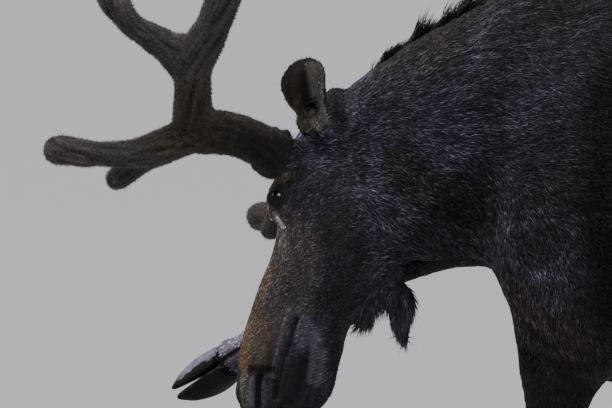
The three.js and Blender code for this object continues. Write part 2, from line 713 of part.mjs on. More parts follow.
for (const [name, side, tine, branch] of [
  ['left', 1, FRONT_TINE, FRONT_BRANCH],
  ['right', -1, FRONT_TINE_RIGHT, FRONT_BRANCH_RIGHT],
]) {
  const pieces = antlerPieces(side, tine, branch);
  for (const [key, manifold] of Object.entries(pieces)) {
    place(headFrame, `antler_${name}_${key}`, toGeometry(manifold), velvet());
  }
}

// ================================================================ feet
// The coronet, where skin ends on the claws, slopes from its front edge down to the heel.
const CORONET_FRONT = CLAW_LENGTH * 0.10;
const CORONET_BACK = -CLAW_LENGTH * 0.36;
const coronetAt = (x) => lerp(
  CORONET_HEEL, CORONET_HEIGHT, (x - CORONET_BACK) / (CORONET_FRONT - CORONET_BACK),
);

// One claw, sole on z = 0, toe toward +x, its flat inner wall at y = 0 and the outer wall at +y.
const CLAW_LEVELS = [
  // share of the height, then toe, heel, width and inner wall
  [0, CLAW_LENGTH * 0.61, -CLAW_LENGTH * 0.34, CLAW_WIDTH * 0.90, 3],
  [0.14, CLAW_LENGTH * 0.60, -CLAW_LENGTH * 0.38, CLAW_WIDTH, 0],
  [0.42, CLAW_LENGTH * 0.43, -CLAW_LENGTH * 0.39, CLAW_WIDTH * 0.99, 0],
  [0.72, CLAW_LENGTH * 0.25, -CLAW_LENGTH * 0.375, CLAW_WIDTH * 0.94, 0],
  [1, CORONET_FRONT, CORONET_BACK, CLAW_WIDTH * 0.84, 2],
];
const CLAW_OUTLINE = [
  // share of the length from the heel, share of the width from the inner wall
  [0, 0.36], [0.12, 0.04], [0.66, 0], [0.94, 0.04], [1, 0.17],
  [0.93, 0.42], [0.76, 0.78], [0.46, 1], [0.10, 0.80],
];
function claw(splay, grow = 0) {
  const turn = THREE.MathUtils.degToRad(splay);
  const rings = CLAW_LEVELS.map(([share, toe, heel, width, inner]) => CLAW_OUTLINE.map(([a, b]) => {
    const along = lerp(heel, toe, a);
    const across = lerp(inner, width, b);
    const x = along * Math.cos(turn) - across * Math.sin(turn);
    const y = along * Math.sin(turn) + across * Math.cos(turn);
    return new THREE.Vector3(x, y, share * coronetAt(Math.min(x, CORONET_FRONT)));
  }));
  const middle = new THREE.Vector3(0, CLAW_WIDTH / 2, CORONET_HEEL / 2);
  rings.flat().forEach((q) => q.addScaledVector(q.clone().sub(middle).normalize(), grow));
  return skinRings(rings);
}

// A dewclaw: a small blunt cone hanging behind the pastern, in rings of depth and radius.
const DEWCLAW_RINGS = [[0, 13], [20, 15], [42, 6]];
const DEWCLAW_SIDES = 6;
const DEWCLAW_BREADTH = 1.25;
function dewclaw(grow = 0) {
  const rings = DEWCLAW_RINGS.map(([depth, radius], k) => {
    const down = depth + (k - 1) * grow;
    return Array.from({ length: DEWCLAW_SIDES }, (_, i) => {
      const angle = (2 * Math.PI * i) / DEWCLAW_SIDES;
      const reach = radius + grow;
      return new THREE.Vector3(
        reach * DEWCLAW_BREADTH * Math.cos(angle),
        reach * Math.sin(angle),
        -down,
      );
    });
  });
  return skinRings(rings);
}

const FEET = {
  // place, turn (roll, pitch, yaw in degrees), splay of the claws, and the dewclaws' place behind
  // the pastern with their lean in degrees
  foreleg_left: { spot: [-408, 24, 0], turn: [0, 0, 4], splay: 4, spur: [-82, 132, 14] },
  hindleg_left: { spot: [-1772, 236, 0], turn: [0, 0, 6], splay: 4, spur: [-82, 132, 14] },
  hindleg_right: { spot: [-1772, -236, 0], turn: [0, 0, -6], splay: 4, spur: [-82, 132, 14] },
  foreleg_right: {
    spot: [237, -206, 1055], turn: [-64, 25, 38], splay: 0, spur: [-122, 84, -50], flexed: true,
  },
};
const footMatrix = ({ spot, turn }) => new THREE.Matrix4().makeRotationFromEuler(new THREE.Euler(
  THREE.MathUtils.degToRad(turn[0]),
  THREE.MathUtils.degToRad(turn[1]),
  THREE.MathUtils.degToRad(turn[2]),
  'ZYX',
)).setPosition(...spot);

// The ring where the leg's skin ends on top of the two claws.
const CORONET = { centre: -20, half: 37, across: 46 };
function coronetRing(label, grow, lift, back = 0) {
  const matrix = footMatrix(FEET[label]);
  return Array.from({ length: SIDES }, (_, i) => {
    const angle = (2 * Math.PI * i) / SIDES;
    const x = CORONET.centre + (CORONET.half + grow) * Math.cos(angle);
    const y = (CORONET.across + grow) * Math.sin(angle);
    return new THREE.Vector3(x - back, y, coronetAt(x) + lift).applyMatrix4(matrix);
  });
}

// A lower leg: its sections, a swelling above the coronet, then the coronet. The dewclaws sit in
// hollows, and on the flexed foot the skin is cut back round the claws too.
const SWELLING = { standing: [3, 16, 4], flexed: [0, 8, 18] };   // grow, lift, back
function lowerLeg(label, stations) {
  const { flexed } = FEET[label];
  const swelling = coronetRing(label, ...(flexed ? SWELLING.flexed : SWELLING.standing));
  const coronet = coronetRing(label, 0, GAP * (flexed ? 3 : 1.3));
  let leg = solid(skinRings([...stations.map((one) => section(one, SIDES)), swelling, coronet]));
  for (const side of [1, -1]) {
    const hollows = [dewclaw(GAP).applyMatrix4(spurMatrix(label, side))];
    if (flexed) hollows.push(sidedClaw(label, side, GAP * 2).translate(0, side * CLEFT, 0));
    for (const hollow of hollows) {
      leg = leg.subtract(solid(hollow.applyMatrix4(footMatrix(FEET[label]))));
    }
  }
  return toGeometry(largest(leg));
}

const sidedClaw = (label, side, grow = 0) => {
  const shape = claw(FEET[label].splay, grow);
  return side > 0 ? shape : outward(shape.scale(1, -1, 1));
};

const SPUR_APART = 24;              // half the distance between a foot's two dewclaws
const spurMatrix = (label, side) => {
  const [x, z, lean] = FEET[label].spur;
  const turn = new THREE.Matrix4().makeRotationY(THREE.MathUtils.degToRad(lean));
  return turn.setPosition(x, side * SPUR_APART, z);
};

// A foot: two claws splayed apart and two dewclaws, standing about the foot's own origin.
function foot(label) {
  const group = new THREE.Group();
  group.applyMatrix4(footMatrix(FEET[label]));
  moose.add(group);
  for (const [name, side] of [['outer', 1], ['inner', -1]]) {
    const toe = place(group, `${label}_claw_${name}`, sidedClaw(label, side), horn());
    toe.position.y = side * CLEFT;
    const spur = place(group, `${label}_dewclaw_${name}`, dewclaw(), horn());
    spur.applyMatrix4(spurMatrix(label, side));
  }
}
Object.keys(FEET).forEach(foot);

// ================================================================ legs
const forearm = solid(bodyLoft(LIFT_FOREARM, SIDES)).subtract(trunkAhead);
place(moose, 'foreleg_left', bodyLoft(FORE_LEFT, SIDES), coatDark());
place(moose, 'foreleg_left_cannon', lowerLeg('foreleg_left', FORE_LEFT_LOW), coatLeg());
place(moose, 'foreleg_right', toGeometry(forearm), coatDark());
place(moose, 'foreleg_right_cannon', lowerLeg('foreleg_right', LIFT_CANNON), coatPale());
place(moose, 'hindleg_left', bodyLoft(HIND_LEFT, SIDES), coatDark());
place(moose, 'hindleg_left_cannon', lowerLeg('hindleg_left', HIND_LEFT_LOW), coatLeg());
place(moose, 'hindleg_right', bodyLoft(flipY(HIND_LEFT), SIDES), coatDark());
place(moose, 'hindleg_right_cannon', lowerLeg('hindleg_right', flipY(HIND_LEFT_LOW)), coatLeg());

// ---------------------------------------------------------------- origin: bottom centre of the whole
moose.updateMatrixWorld(true);
const extent = new THREE.Box3().setFromObject(moose, true);
moose.position.x -= (extent.min.x + extent.max.x) / 2;
moose.position.y -= (extent.min.y + extent.max.y) / 2;
moose.updateMatrixWorld(true);

export default moose;
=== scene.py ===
"""A bull moose in velvet: one skin, a coat of tufts, antlers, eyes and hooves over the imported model.

Shapes are written in millimetres in the animal's own frame (+X forward, +Y its left, +Z up, nape
near X = 0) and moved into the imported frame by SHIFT. In names, p are points of that frame and q are
points of the head's frame (x from poll to nose, y left, z out of the forehead).
"""
import math

import bpy
import numpy as np
from mathutils import Matrix, Vector


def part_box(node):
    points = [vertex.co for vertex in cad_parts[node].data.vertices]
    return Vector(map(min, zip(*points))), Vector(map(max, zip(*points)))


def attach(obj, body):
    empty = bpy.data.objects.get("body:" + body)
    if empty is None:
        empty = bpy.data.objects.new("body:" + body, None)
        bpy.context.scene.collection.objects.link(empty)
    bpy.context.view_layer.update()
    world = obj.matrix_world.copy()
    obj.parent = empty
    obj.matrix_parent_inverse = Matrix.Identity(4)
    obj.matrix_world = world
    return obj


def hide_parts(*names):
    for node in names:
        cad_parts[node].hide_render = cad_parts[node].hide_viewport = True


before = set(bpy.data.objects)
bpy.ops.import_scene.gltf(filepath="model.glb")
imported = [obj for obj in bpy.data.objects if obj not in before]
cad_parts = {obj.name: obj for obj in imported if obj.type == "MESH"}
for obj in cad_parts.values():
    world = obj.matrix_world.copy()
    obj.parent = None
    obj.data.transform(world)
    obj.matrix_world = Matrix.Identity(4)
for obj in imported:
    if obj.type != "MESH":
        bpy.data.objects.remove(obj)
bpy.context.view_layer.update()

dice = np.random.default_rng(41)

# ---- driving values
BODY_VOXEL = 8.0
HEAD_VOXEL = 3.7
ANTLER_VOXEL = 4.0
NECK_SEAM = -300.0  # plane where the fine head joins the coarser body
POLL = np.array([-40.0, -60.0, 1625.0])
HEAD_ROLL, HEAD_PITCH, HEAD_YAW = (math.radians(a) for a in (14, 70, -10))
EYE_SPOT = np.array([219.0, 96.0, -22.0])
EYE_RADIUS = 20.0
BURR_AT = 2 / 7

# ---- stations, as the solids have them
# Body section: upper point, lower point, half width, widest height, upper and lower roundness.
TRUNK = [
    [-352, 0, 1500, -352, 0, 1345, 70, 0.50, 2, 2],
    [-378, 0, 1590, -372, 0, 1293, 135, 0.48, 2, 2],
    [-412, 0, 1690, -402, 0, 1232, 188, 0.46, 2, 2.1],
    [-470, 0, 1800, -455, 0, 1150, 222, 0.45, 1.8, 2.2],
    [-560, 0, 1905, -545, 0, 1106, 246, 0.44, 1.7, 2.2],
    [-650, 0, 1939, -642, 0, 1094, 258, 0.43, 1.6, 2.2],
    [-735, 0, 1950, -730, 0, 1092, 271, 0.43, 1.6, 2.2],
    [-850, 0, 1915, -850, 0, 1089, 282, 0.43, 1.7, 2.2],
    [-985, 0, 1842, -985, 0, 1093, 294, 0.44, 1.9, 2.1],
    [-1160, 0, 1787, -1160, 0, 1098, 300, 0.46, 2, 2.1],
    [-1335, 0, 1762, -1335, 0, 1128, 288, 0.49, 2, 2],
    [-1490, 0, 1757, -1490, 0, 1172, 268, 0.53, 2, 2],
    [-1640, 0, 1755, -1630, 0, 1210, 252, 0.55, 2, 2],
    [-1785, 0, 1720, -1765, 0, 1240, 226, 0.55, 2, 2],
    [-1907, 0, 1650, -1882, 0, 1290, 176, 0.54, 2, 2],
    [-1972, 0, 1560, -1955, 0, 1370, 96, 0.52, 2, 2],
]
NECK = [
    [-690, 0, 1938, -560, 0, 1215, 150, 0.48, 1.7, 2],
    [-520, 0, 1918, -425, 0, 1262, 186, 0.46, 1.7, 2.1],
    [-395, -2, 1857, -338, 2, 1322, 170, 0.46, 1.7, 2],
    [-300, -12, 1800, -274, 6, 1320, 155, 0.47, 1.8, 2],
    [-215, -28, 1752, -222, 14, 1318, 142, 0.48, 1.9, 2],
    [-140, -44, 1698, -178, 26, 1322, 128, 0.50, 2, 2],
    [-92, -52, 1661, -140, 30, 1338, 106, 0.52, 2, 2],
    [-66, -52, 1642, -110, 26, 1390, 72, 0.52, 2.2, 2],
]


def leg(z, front, back, y, half):
    """A leg section: level, front, back, middle and half width."""
    return [front, y, z, back, y, z, half, 0.5, 2.2, 2.2]


def lifted(x, z, slope, y, deep, half):
    """A section of the lifted leg: centre, slope of its travel, and its two half sizes."""
    dx = -math.sin(math.radians(slope)) * deep
    dz = math.cos(math.radians(slope)) * deep
    return [x + dx, y, z + dz, x - dx, y, z - dz, half, 0.5, 2.2, 2.2]


FORELEG = [
    [-440, 150, 1500, -640, 150, 1500, 60, 0.5, 2, 2],
    [-422, 158, 1390, -680, 160, 1390, 82, 0.5, 2, 2],
    [-416, 160, 1270, -690, 163, 1290, 86, 0.5, 2, 2],
    [-428, 156, 1170, -632, 156, 1170, 84, 0.5, 2.1, 2.1],
    [-440, 148, 1105, -586, 148, 1105, 76, 0.5, 2.2, 2.2],
    leg(1050, -446, -562, 142, 66), leg(960, -444, -550, 130, 58),
    leg(860, -439, -535, 115, 51), leg(760, -432, -522, 99, 46),
    leg(680, -424, -514, 88, 46), leg(620, -416, -516, 79, 49),
    leg(570, -414, -512, 72, 48), leg(530, -422, -502, 66, 41),
    leg(480, -427, -497, 59, 33), leg(400, -429, -493, 49, 29),
    leg(310, -428, -493, 38, 29), leg(240, -420, -499, 31, 35),
    leg(198, -409, -500, 27, 41), leg(155, -392, -480, 25, 40),
    leg(126, -376, -470, 24, 44),
]
HINDLEG = [
    [-1480, 120, 1560, -1880, 120, 1560, 90, 0.5, 2, 2],
    [-1440, 150, 1420, -1930, 150, 1440, 112, 0.5, 2, 2],
    [-1420, 168, 1290, -1910, 172, 1300, 112, 0.5, 2, 2],
    [-1432, 184, 1180, -1870, 186, 1180, 102, 0.5, 2.1, 2.1],
    [-1460, 196, 1100, -1832, 196, 1100, 92, 0.5, 2.2, 2.2],
    leg(1030, -1492, -1806, 203, 82), leg(960, -1536, -1792, 210, 72),
    leg(880, -1594, -1796, 216, 61), leg(800, -1658, -1826, 221, 52),
    leg(730, -1718, -1878, 225, 47), leg(665, -1754, -1908, 228, 45),
    leg(610, -1772, -1898, 230, 43), leg(560, -1782, -1882, 231, 38),
    leg(490, -1792, -1872, 233, 32), leg(400, -1797, -1867, 234, 29),
    leg(310, -1796, -1866, 235, 30), leg(240, -1786, -1870, 236, 36),
    leg(198, -1772, -1868, 236, 42), leg(155, -1752, -1848, 236, 41),
    leg(126, -1736, -1836, 236, 44),
]
LIFTED_LEG = [
    lifted(-760, 1330, 4, -160, 110, 60), lifted(-680, 1268, 10, -168, 130, 82),
    lifted(-590, 1256, 16, -176, 112, 84), lifted(-500, 1270, 20, -184, 86, 76),
    lifted(-430, 1294, 22, -189, 68, 62), lifted(-392, 1309, 20, -191, 59, 56),
    lifted(-356, 1323, 12, -192, 52, 50), lifted(-322, 1330, -2, -193, 48, 47),
    lifted(-286, 1327, -14, -193, 46, 46), lifted(-246, 1314, -20, -194, 38, 39),
    lifted(-200, 1297, -21, -194, 34, 33), lifted(-130, 1268, -22, -194, 31, 29),
    lifted(-55, 1236, -23, -193, 32, 30), lifted(0, 1212, -25, -190, 38, 35),
    lifted(40, 1192, -27, -185, 41, 39), lifted(80, 1169, -29, -179, 38, 38),
    lifted(118, 1146, -32, -173, 38, 38),
]
TAIL = [
    [-1910, 0, 1640, -1910, 0, 1560, 40, 0.5, 2, 2],
    [-1978, 0, 1618, -1970, 0, 1540, 36, 0.5, 2, 2],
    [-2002, 0, 1586, -1984, 0, 1516, 29, 0.5, 2, 2],
    [-2014, 0, 1548, -1992, 0, 1492, 22, 0.5, 2, 2],
    [-2014, 0, 1508, -2000, 0, 1480, 12, 0.5, 2, 2],
]


def bell(front_x, front_z, back_x, back_z, half):
    """A section of the bell, from its front edge to its back edge."""
    return [front_x, 24, front_z, back_x, 24, back_z, half, 0.5, 2, 2]


BELL = [
    bell(-40, 1250, -160, 1370, 34), bell(-78, 1215, -192, 1335, 32),
    bell(-108, 1188, -214, 1305, 26), bell(-124, 1179, -222, 1282, 25),
    bell(-142, 1173, -223, 1253, 22), bell(-158, 1168, -219, 1222, 18),
    bell(-174, 1160, -213, 1192, 13), bell(-188, 1152, -205, 1165, 7),
]
# Under the hair the bell ends in a long strand and a short lobe: x, y, z, radius, flatness.
BELL_STRAND = [[-150, 24, 1292, 38, 1.2], [-184, 24, 1250, 32, 1], [-190, 24, 1208, 23, 1],
               [-197, 24, 1176, 12, 1]]
BELL_LOBE = [[-112, 24, 1258, 30, 1.2], [-124, 24, 1228, 22, 1], [-131, 24, 1203, 12, 1]]


def skull(n, top, bottom, half, wide, up=2, down=2):
    """A head section, in the head frame: x from poll to nose, y left, z out of the forehead."""
    return [n, 0, top, n, 0, bottom, half, wide, up, down]


SKULL = [
    skull(-30, -36, -110, 42, 0.55), skull(-15, 4, -150, 70, 0.58, 2.2),
    skull(20, 18, -196, 88, 0.60, 2.2),
    skull(70, 26, -232, 98, 0.60, 2.3), skull(125, 30, -256, 104, 0.60, 2.4, 2.3),
    skull(180, 27, -268, 108, 0.60, 2.3, 2.4), skull(230, 8, -270, 106, 0.60, 2.2, 2.4),
    skull(280, -14, -258, 93, 0.58, 2.2, 2.3), skull(330, -22, -238, 78, 0.57, 2.2, 2.2),
    skull(385, -23, -214, 68, 0.55, 2.3), skull(440, -28, -204, 67, 0.50, 2.3, 2.3),
    skull(495, -37, -206, 78, 0.46, 2.3, 2.4), skull(545, -52, -211, 87, 0.44, 2.3, 2.5),
    skull(595, -79, -209, 87, 0.45, 2.3, 2.5), skull(632, -112, -200, 72, 0.48, 2.2, 2.3),
    skull(655, -142, -180, 38, 0.50),
]
JAW = [
    skull(330, -150, -236, 54, 0.5), skull(385, -160, -220, 50, 0.5),
    skull(430, -165, -224, 47, 0.5), skull(470, -170, -230, 47, 0.5),
    skull(510, -175, -238, 48, 0.5), skull(545, -178, -236, 45, 0.5),
    skull(572, -180, -222, 36, 0.5), skull(586, -186, -204, 18, 0.5),
]

# Antler station, in the head frame: x, y, z, radius, flatness.
BEAM = [
    [136, 60, -10, 36, 1], [141, 92, -4, 40, 1], [143, 122, 4, 44, 1], [139, 160, 24, 40, 1],
    [137, 220, 48, 40, 1], [146, 280, 66, 42, 1], [157, 335, 78, 43, 1], [163, 372, 91, 35, 1],
]
FRONT_TINE = [
    [154, 322, 73, 33, 1], [188, 362, 95, 34, 1], [230, 402, 126, 31, 1],
    [258, 440, 164, 25, 1], [277, 478, 205, 26, 1], [289, 508, 238, 28, 1],
]
LOWER_TINE = [
    [187, 330, 97, 26, 1], [214, 332, 123, 26, 1], [237, 341, 143, 25, 1],
    [266, 358, 158, 23.5, 1], [298, 378, 169, 23, 1],
]
STEM = [
    [167, 322, 76, 36, 1], [142, 362, 82, 39, 1], [115, 396, 81, 36, 1],
    [89, 424, 81, 34.5, 1], [62, 446, 85, 37, 1], [35, 462, 97, 40, 1],
]
FRONT_BRANCH = [
    [59, 450, 95, 33, 1], [41, 478, 130, 31, 1], [34, 508, 158, 26, 1], [28, 530, 188, 24, 1],
    [8, 552, 223, 26.5, 1], [-26, 566, 261, 29, 1], [-54, 574, 294, 31.5, 1],
]
REAR_BRANCH = [
    [55, 448, 86, 34, 1], [15, 474, 73, 36, 1], [-31, 498, 58, 32, 1],
    [-76, 526, 47, 33, 1], [-123, 548, 44, 36.5, 0.95], [-165, 562, 46, 38, 0.9],
]
FORK_WEB = ([24, 469, 111], [24, 20, 24])
FRONT_TINE_RIGHT = [[x, y, z + 4 * k, r + (3 if k > 3 else 0), f]
                    for k, (x, y, z, r, f) in enumerate(FRONT_TINE)]
FRONT_BRANCH_RIGHT = [
    [59, 450, 95, 33, 1], [38, 476, 126, 33, 1], [27, 498, 154, 31, 1], [20, 514, 176, 30, 1],
]

# Ear section: along, radius across, depth, half opening angle, wall, lean.
EAR = [
    [0, 26, 25, 170, 10, 2], [29, 30, 27, 154, 10, 6], [64, 27, 32, 130, 9, 3],
    [106, 38, 34, 110, 9, 10], [147, 42, 31, 97, 8.5, 12], [181, 38, 24, 88, 8, 6],
    [204, 29, 17, 80, 7, 1], [217, 14, 10, 72, 6, -3],
]
EARS = {"ear_left": 1, "ear_right": -1}
EAR_BASE = np.array([74.5, 98, -39])
EAR_AXIS = np.array([-0.522, 0.853, -0.018])
EAR_OPEN = np.array([0.748, 0.448, -0.489])
EAR_EDGE = 7  # how many degrees sooner the inside ends than the outside
# The cushion at the ear's foot, in the ear's frame: x, y, z, radius, flatness.
EAR_CUSHION = [[8, 3, -4, 20, 1], [34, 4, -5, 21, 1], [58, 5, -8, 17, 1], [70, 6, -12, 8, 1]]

# Foot: place, (roll, pitch, yaw), splay of the claws, place and lean of the dewclaws.
FEET = {
    "foreleg_left": ([-408, 24, 0], (0, 0, 4), 4, (-82, 132, 14)),
    "hindleg_left": ([-1772, 236, 0], (0, 0, 6), 4, (-82, 132, 14)),
    "hindleg_right": ([-1772, -236, 0], (0, 0, -6), 4, (-82, 132, 14)),
    "foreleg_right": ([237, -206, 1055], (-64, 25, 38), 0, (-122, 84, -50)),
}
LIFTED_FOOT = "foreleg_right"
CLAW_LENGTH, CLAW_WIDTH, CLEFT = 152, 46, 4
CORONET_HEEL, CORONET_HEIGHT = 48, 84
CORONET_BACK, CORONET_FRONT = 0.36, 0.10  # the coronet's ends, as shares of a claw's length
CORONET_ALONG = (-20, 37)  # the middle and half length of its ring
CORONET_ACROSS = ((0, 46), (5, 41))  # the middle and half width of its ring, standing and lifted
CORONET_FLARE = ((3, 16, 4), (0, 8, 18))  # how much wider, higher and further back the leg is above it
DEWCLAW_APART = 24  # from the foot's middle to each dewclaw
PAD = ((0.35, 26), (0.7, 22), (1, 18), (1.15, 9))  # a dewclaw's pad: share of its way, radius


# ---- curves and lofts
def unit(v):
    """Each row of v at length one."""
    return v / np.maximum(np.linalg.norm(v, axis=-1, keepdims=True), 1e-9)


def square_to(v, axis):
    """v without its share along the axis, at length one."""
    return unit(v - axis * (v @ axis))


def rotation(axis, angle):
    """3x3 turn by angle about the X, Y or Z axis."""
    return np.array(Matrix.Rotation(angle, 3, axis))


HEAD_TURN = rotation("Z", HEAD_YAW) @ rotation("X", HEAD_ROLL) @ rotation("Y", HEAD_PITCH)


def from_head(q):
    """Head-frame points in the animal's frame."""
    return q @ HEAD_TURN.T + POLL


def to_head(p):
    """The animal's points in the head frame."""
    return (p - POLL) @ HEAD_TURN


def on_left(p):
    """Points with those of the right side mirrored to the left."""
    return p * [1, 0, 1] + np.abs(p) * [0, 1, 0]


def curve(stations, t):
    """A smooth curve through the stations, at each t from 0 to 1."""
    table = np.asarray(stations, float)
    last = len(table) - 1
    s = np.clip(np.asarray(t, float), 0, 1) * last
    i = np.minimum(s.astype(int), last - 1)
    u = (s - i)[:, None]
    a, b = table[np.maximum(i - 1, 0)], table[i]
    c, d = table[i + 1], table[np.minimum(i + 2, last)]
    return 0.5 * (2 * b + (c - a) * u + (2 * a - 5 * b + 4 * c - d) * u * u
                  + (3 * b - a - 3 * c + d) * u ** 3)


def powered(x, p):
    """x to the power p, with x's own sign."""
    return np.sign(x) * np.abs(x) ** p


def blended(low, high, x):
    """0 below low, 1 above high, smooth between."""
    s = np.clip((x - low) / (high - low), 0, 1)
    return s * s * (3 - 2 * s)


def body_rings(stations, rings, sides, start=0.0, end=1.0):
    """Rings of a body loft, as (ring, side, xyz)."""
    row = curve(stations, np.linspace(start, end, rings))
    upper, lower = row[:, 0:3], row[:, 3:6]
    up = unit(upper - lower)
    side = unit(np.array([0.0, 1.0, 0.0]) - up * up[:, 1:2])
    middle = lower + (upper - lower) * row[:, 7:8]
    above = np.linalg.norm(upper - middle, axis=1)[:, None]
    below = np.linalg.norm(lower - middle, axis=1)[:, None]
    angle = np.linspace(0, 2 * math.pi, sides, endpoint=False)[None]
    c, s = np.cos(angle), np.sin(angle)
    roundness = np.where(c >= 0, row[:, 8:9], row[:, 9:10])
    reach = np.where(c >= 0, above, below) * powered(c, 2 / roundness)
    across = row[:, 6:7] * powered(s, 2 / roundness)
    return middle[:, None] + up[:, None] * reach[..., None] + side[:, None] * across[..., None]


def tube_rings(stations, rings, sides, start=0.0, end=1.0):
    """Rings of a tube of changing oval section along a path."""
    t = np.linspace(start, end, rings)
    row = curve(stations, t)
    path = np.asarray(stations, float)[:, :3]
    along = unit(curve(path, np.minimum(t + 0.01, 1)) - curve(path, np.maximum(t - 0.01, 0)))
    up = np.array([0.0, 0.0, 1.0])
    u = unit(up - along * along[:, 2:3])
    w = np.cross(along, u)
    angle = np.linspace(0, 2 * math.pi, sides, endpoint=False)[None, :, None]
    radius, flat = row[:, None, 3:4], row[:, None, 4:5]
    return (row[:, None, :3] + u[:, None] * radius * np.cos(angle)
            + w[:, None] * radius * flat * np.sin(angle))


def middle_line(stations):
    """Centre points and mean radii of a part's sections."""
    s = curve(stations, np.linspace(0, 1, 24))
    reach = np.linalg.norm(s[:, :3] - s[:, 3:6], axis=1) / 2
    return (s[:, :3] + s[:, 3:6]) / 2, np.sqrt(reach * s[:, 6])


def rounded(stations, steps=5):
    """The path with a half-round end of its last radius."""
    last, before = np.array(stations[-1], float), np.array(stations[-2], float)
    along = unit(last[:3] - before[:3])
    out = [list(s) for s in stations]
    for k in range(1, steps + 1):
        angle = math.pi / 2 * k / steps * 0.96
        tip = last[:3] + along * last[3] * math.sin(angle)
        out.append([*tip, last[3] * math.cos(angle), last[4]])
    return out


def flipped(stations):
    """Body or tube stations mirrored to the animal's other side."""
    out = np.array(stations, float)
    out[:, 1] *= -1
    if out.shape[1] > 5:
        out[:, 4] *= -1
    return out


def loft(rings, crescent=False):
    """(vertices, triangles) of a closed skin through rings; a crescent's ends are strips."""
    count, sides = rings.shape[:2]
    verts = rings.reshape(-1, 3)
    base = np.arange(count - 1)[:, None] * sides
    a = (base + np.arange(sides)).ravel()
    b = (base + (np.arange(sides) + 1) % sides).ravel()
    walls = [np.stack([a, a + sides, b], 1), np.stack([b, a + sides, b + sides], 1)]
    caps = []
    for first, flip in ((0, False), ((count - 1) * sides, True)):
        if crescent:
            i = first + np.arange(sides // 2 - 1)
            j = first + sides - 1 - np.arange(sides // 2 - 1)
            cap = np.vstack([np.stack([i, i + 1, j], 1), np.stack([i + 1, j - 1, j], 1)])
        else:
            verts = np.vstack([verts, rings[0 if first == 0 else -1].mean(0)])
            i = first + np.arange(sides)
            j = first + (np.arange(sides) + 1) % sides
            cap = np.stack([np.full(sides, len(verts) - 1), i, j], 1)
        caps.append(cap[:, ::-1] if flip else cap)
    tris = np.vstack(walls + caps)
    x, y, z = (verts[tris[:, k]] for k in range(3))
    if np.einsum("ij,ij->i", x, np.cross(y, z)).sum() < 0:
        tris = tris[:, ::-1]
    return verts, tris


def turned_rings(half_x, half_y, height, sides):
    """Rings round the z axis: each ring's two half sizes and its height."""
    angle = np.linspace(0, 2 * math.pi, sides, endpoint=False)
    level = np.repeat(height[:, None], sides, 1)
    return np.stack([half_x[:, None] * np.cos(angle), half_y[:, None] * np.sin(angle), level], -1)


def ball(centre, radii, tilt=0.0, spin=0.0, sides=40):
    """(vertices, triangles) of an ellipsoid, tilted about Y and spun about Z, in degrees."""
    turn = rotation("Z", math.radians(spin)) @ rotation("Y", math.radians(tilt))
    t = np.linspace(0.02, math.pi - 0.02, sides // 2)
    rings = turned_rings(np.sin(t), np.sin(t), np.cos(t), sides)
    return loft(rings * np.asarray(radii, float) @ turn.T + np.asarray(centre, float))


def path_distance(q, path):
    """Distance from each point to a polyline."""
    path = np.asarray(path, float)
    if len(path) == 1:
        return np.linalg.norm(q - path[0], axis=1)
    best = np.full(len(q), np.inf)
    for a, b in zip(path[:-1], path[1:]):
        ab = b - a
        s = np.clip((q - a) @ ab / (ab @ ab), 0, 1)[:, None]
        best = np.minimum(best, np.linalg.norm(q - a - ab * s, axis=1))
    return best


# ---- surfaces as arrays
SHRINK, SWELL = 0.5, 0.52  # a smoothing round's step, and the step back that keeps the volume


def facing(verts, tris):
    """Each triangle's outward direction, twice its area long."""
    x, y, z = (verts[tris[:, k]] for k in range(3))
    return np.cross(y - x, z - x)


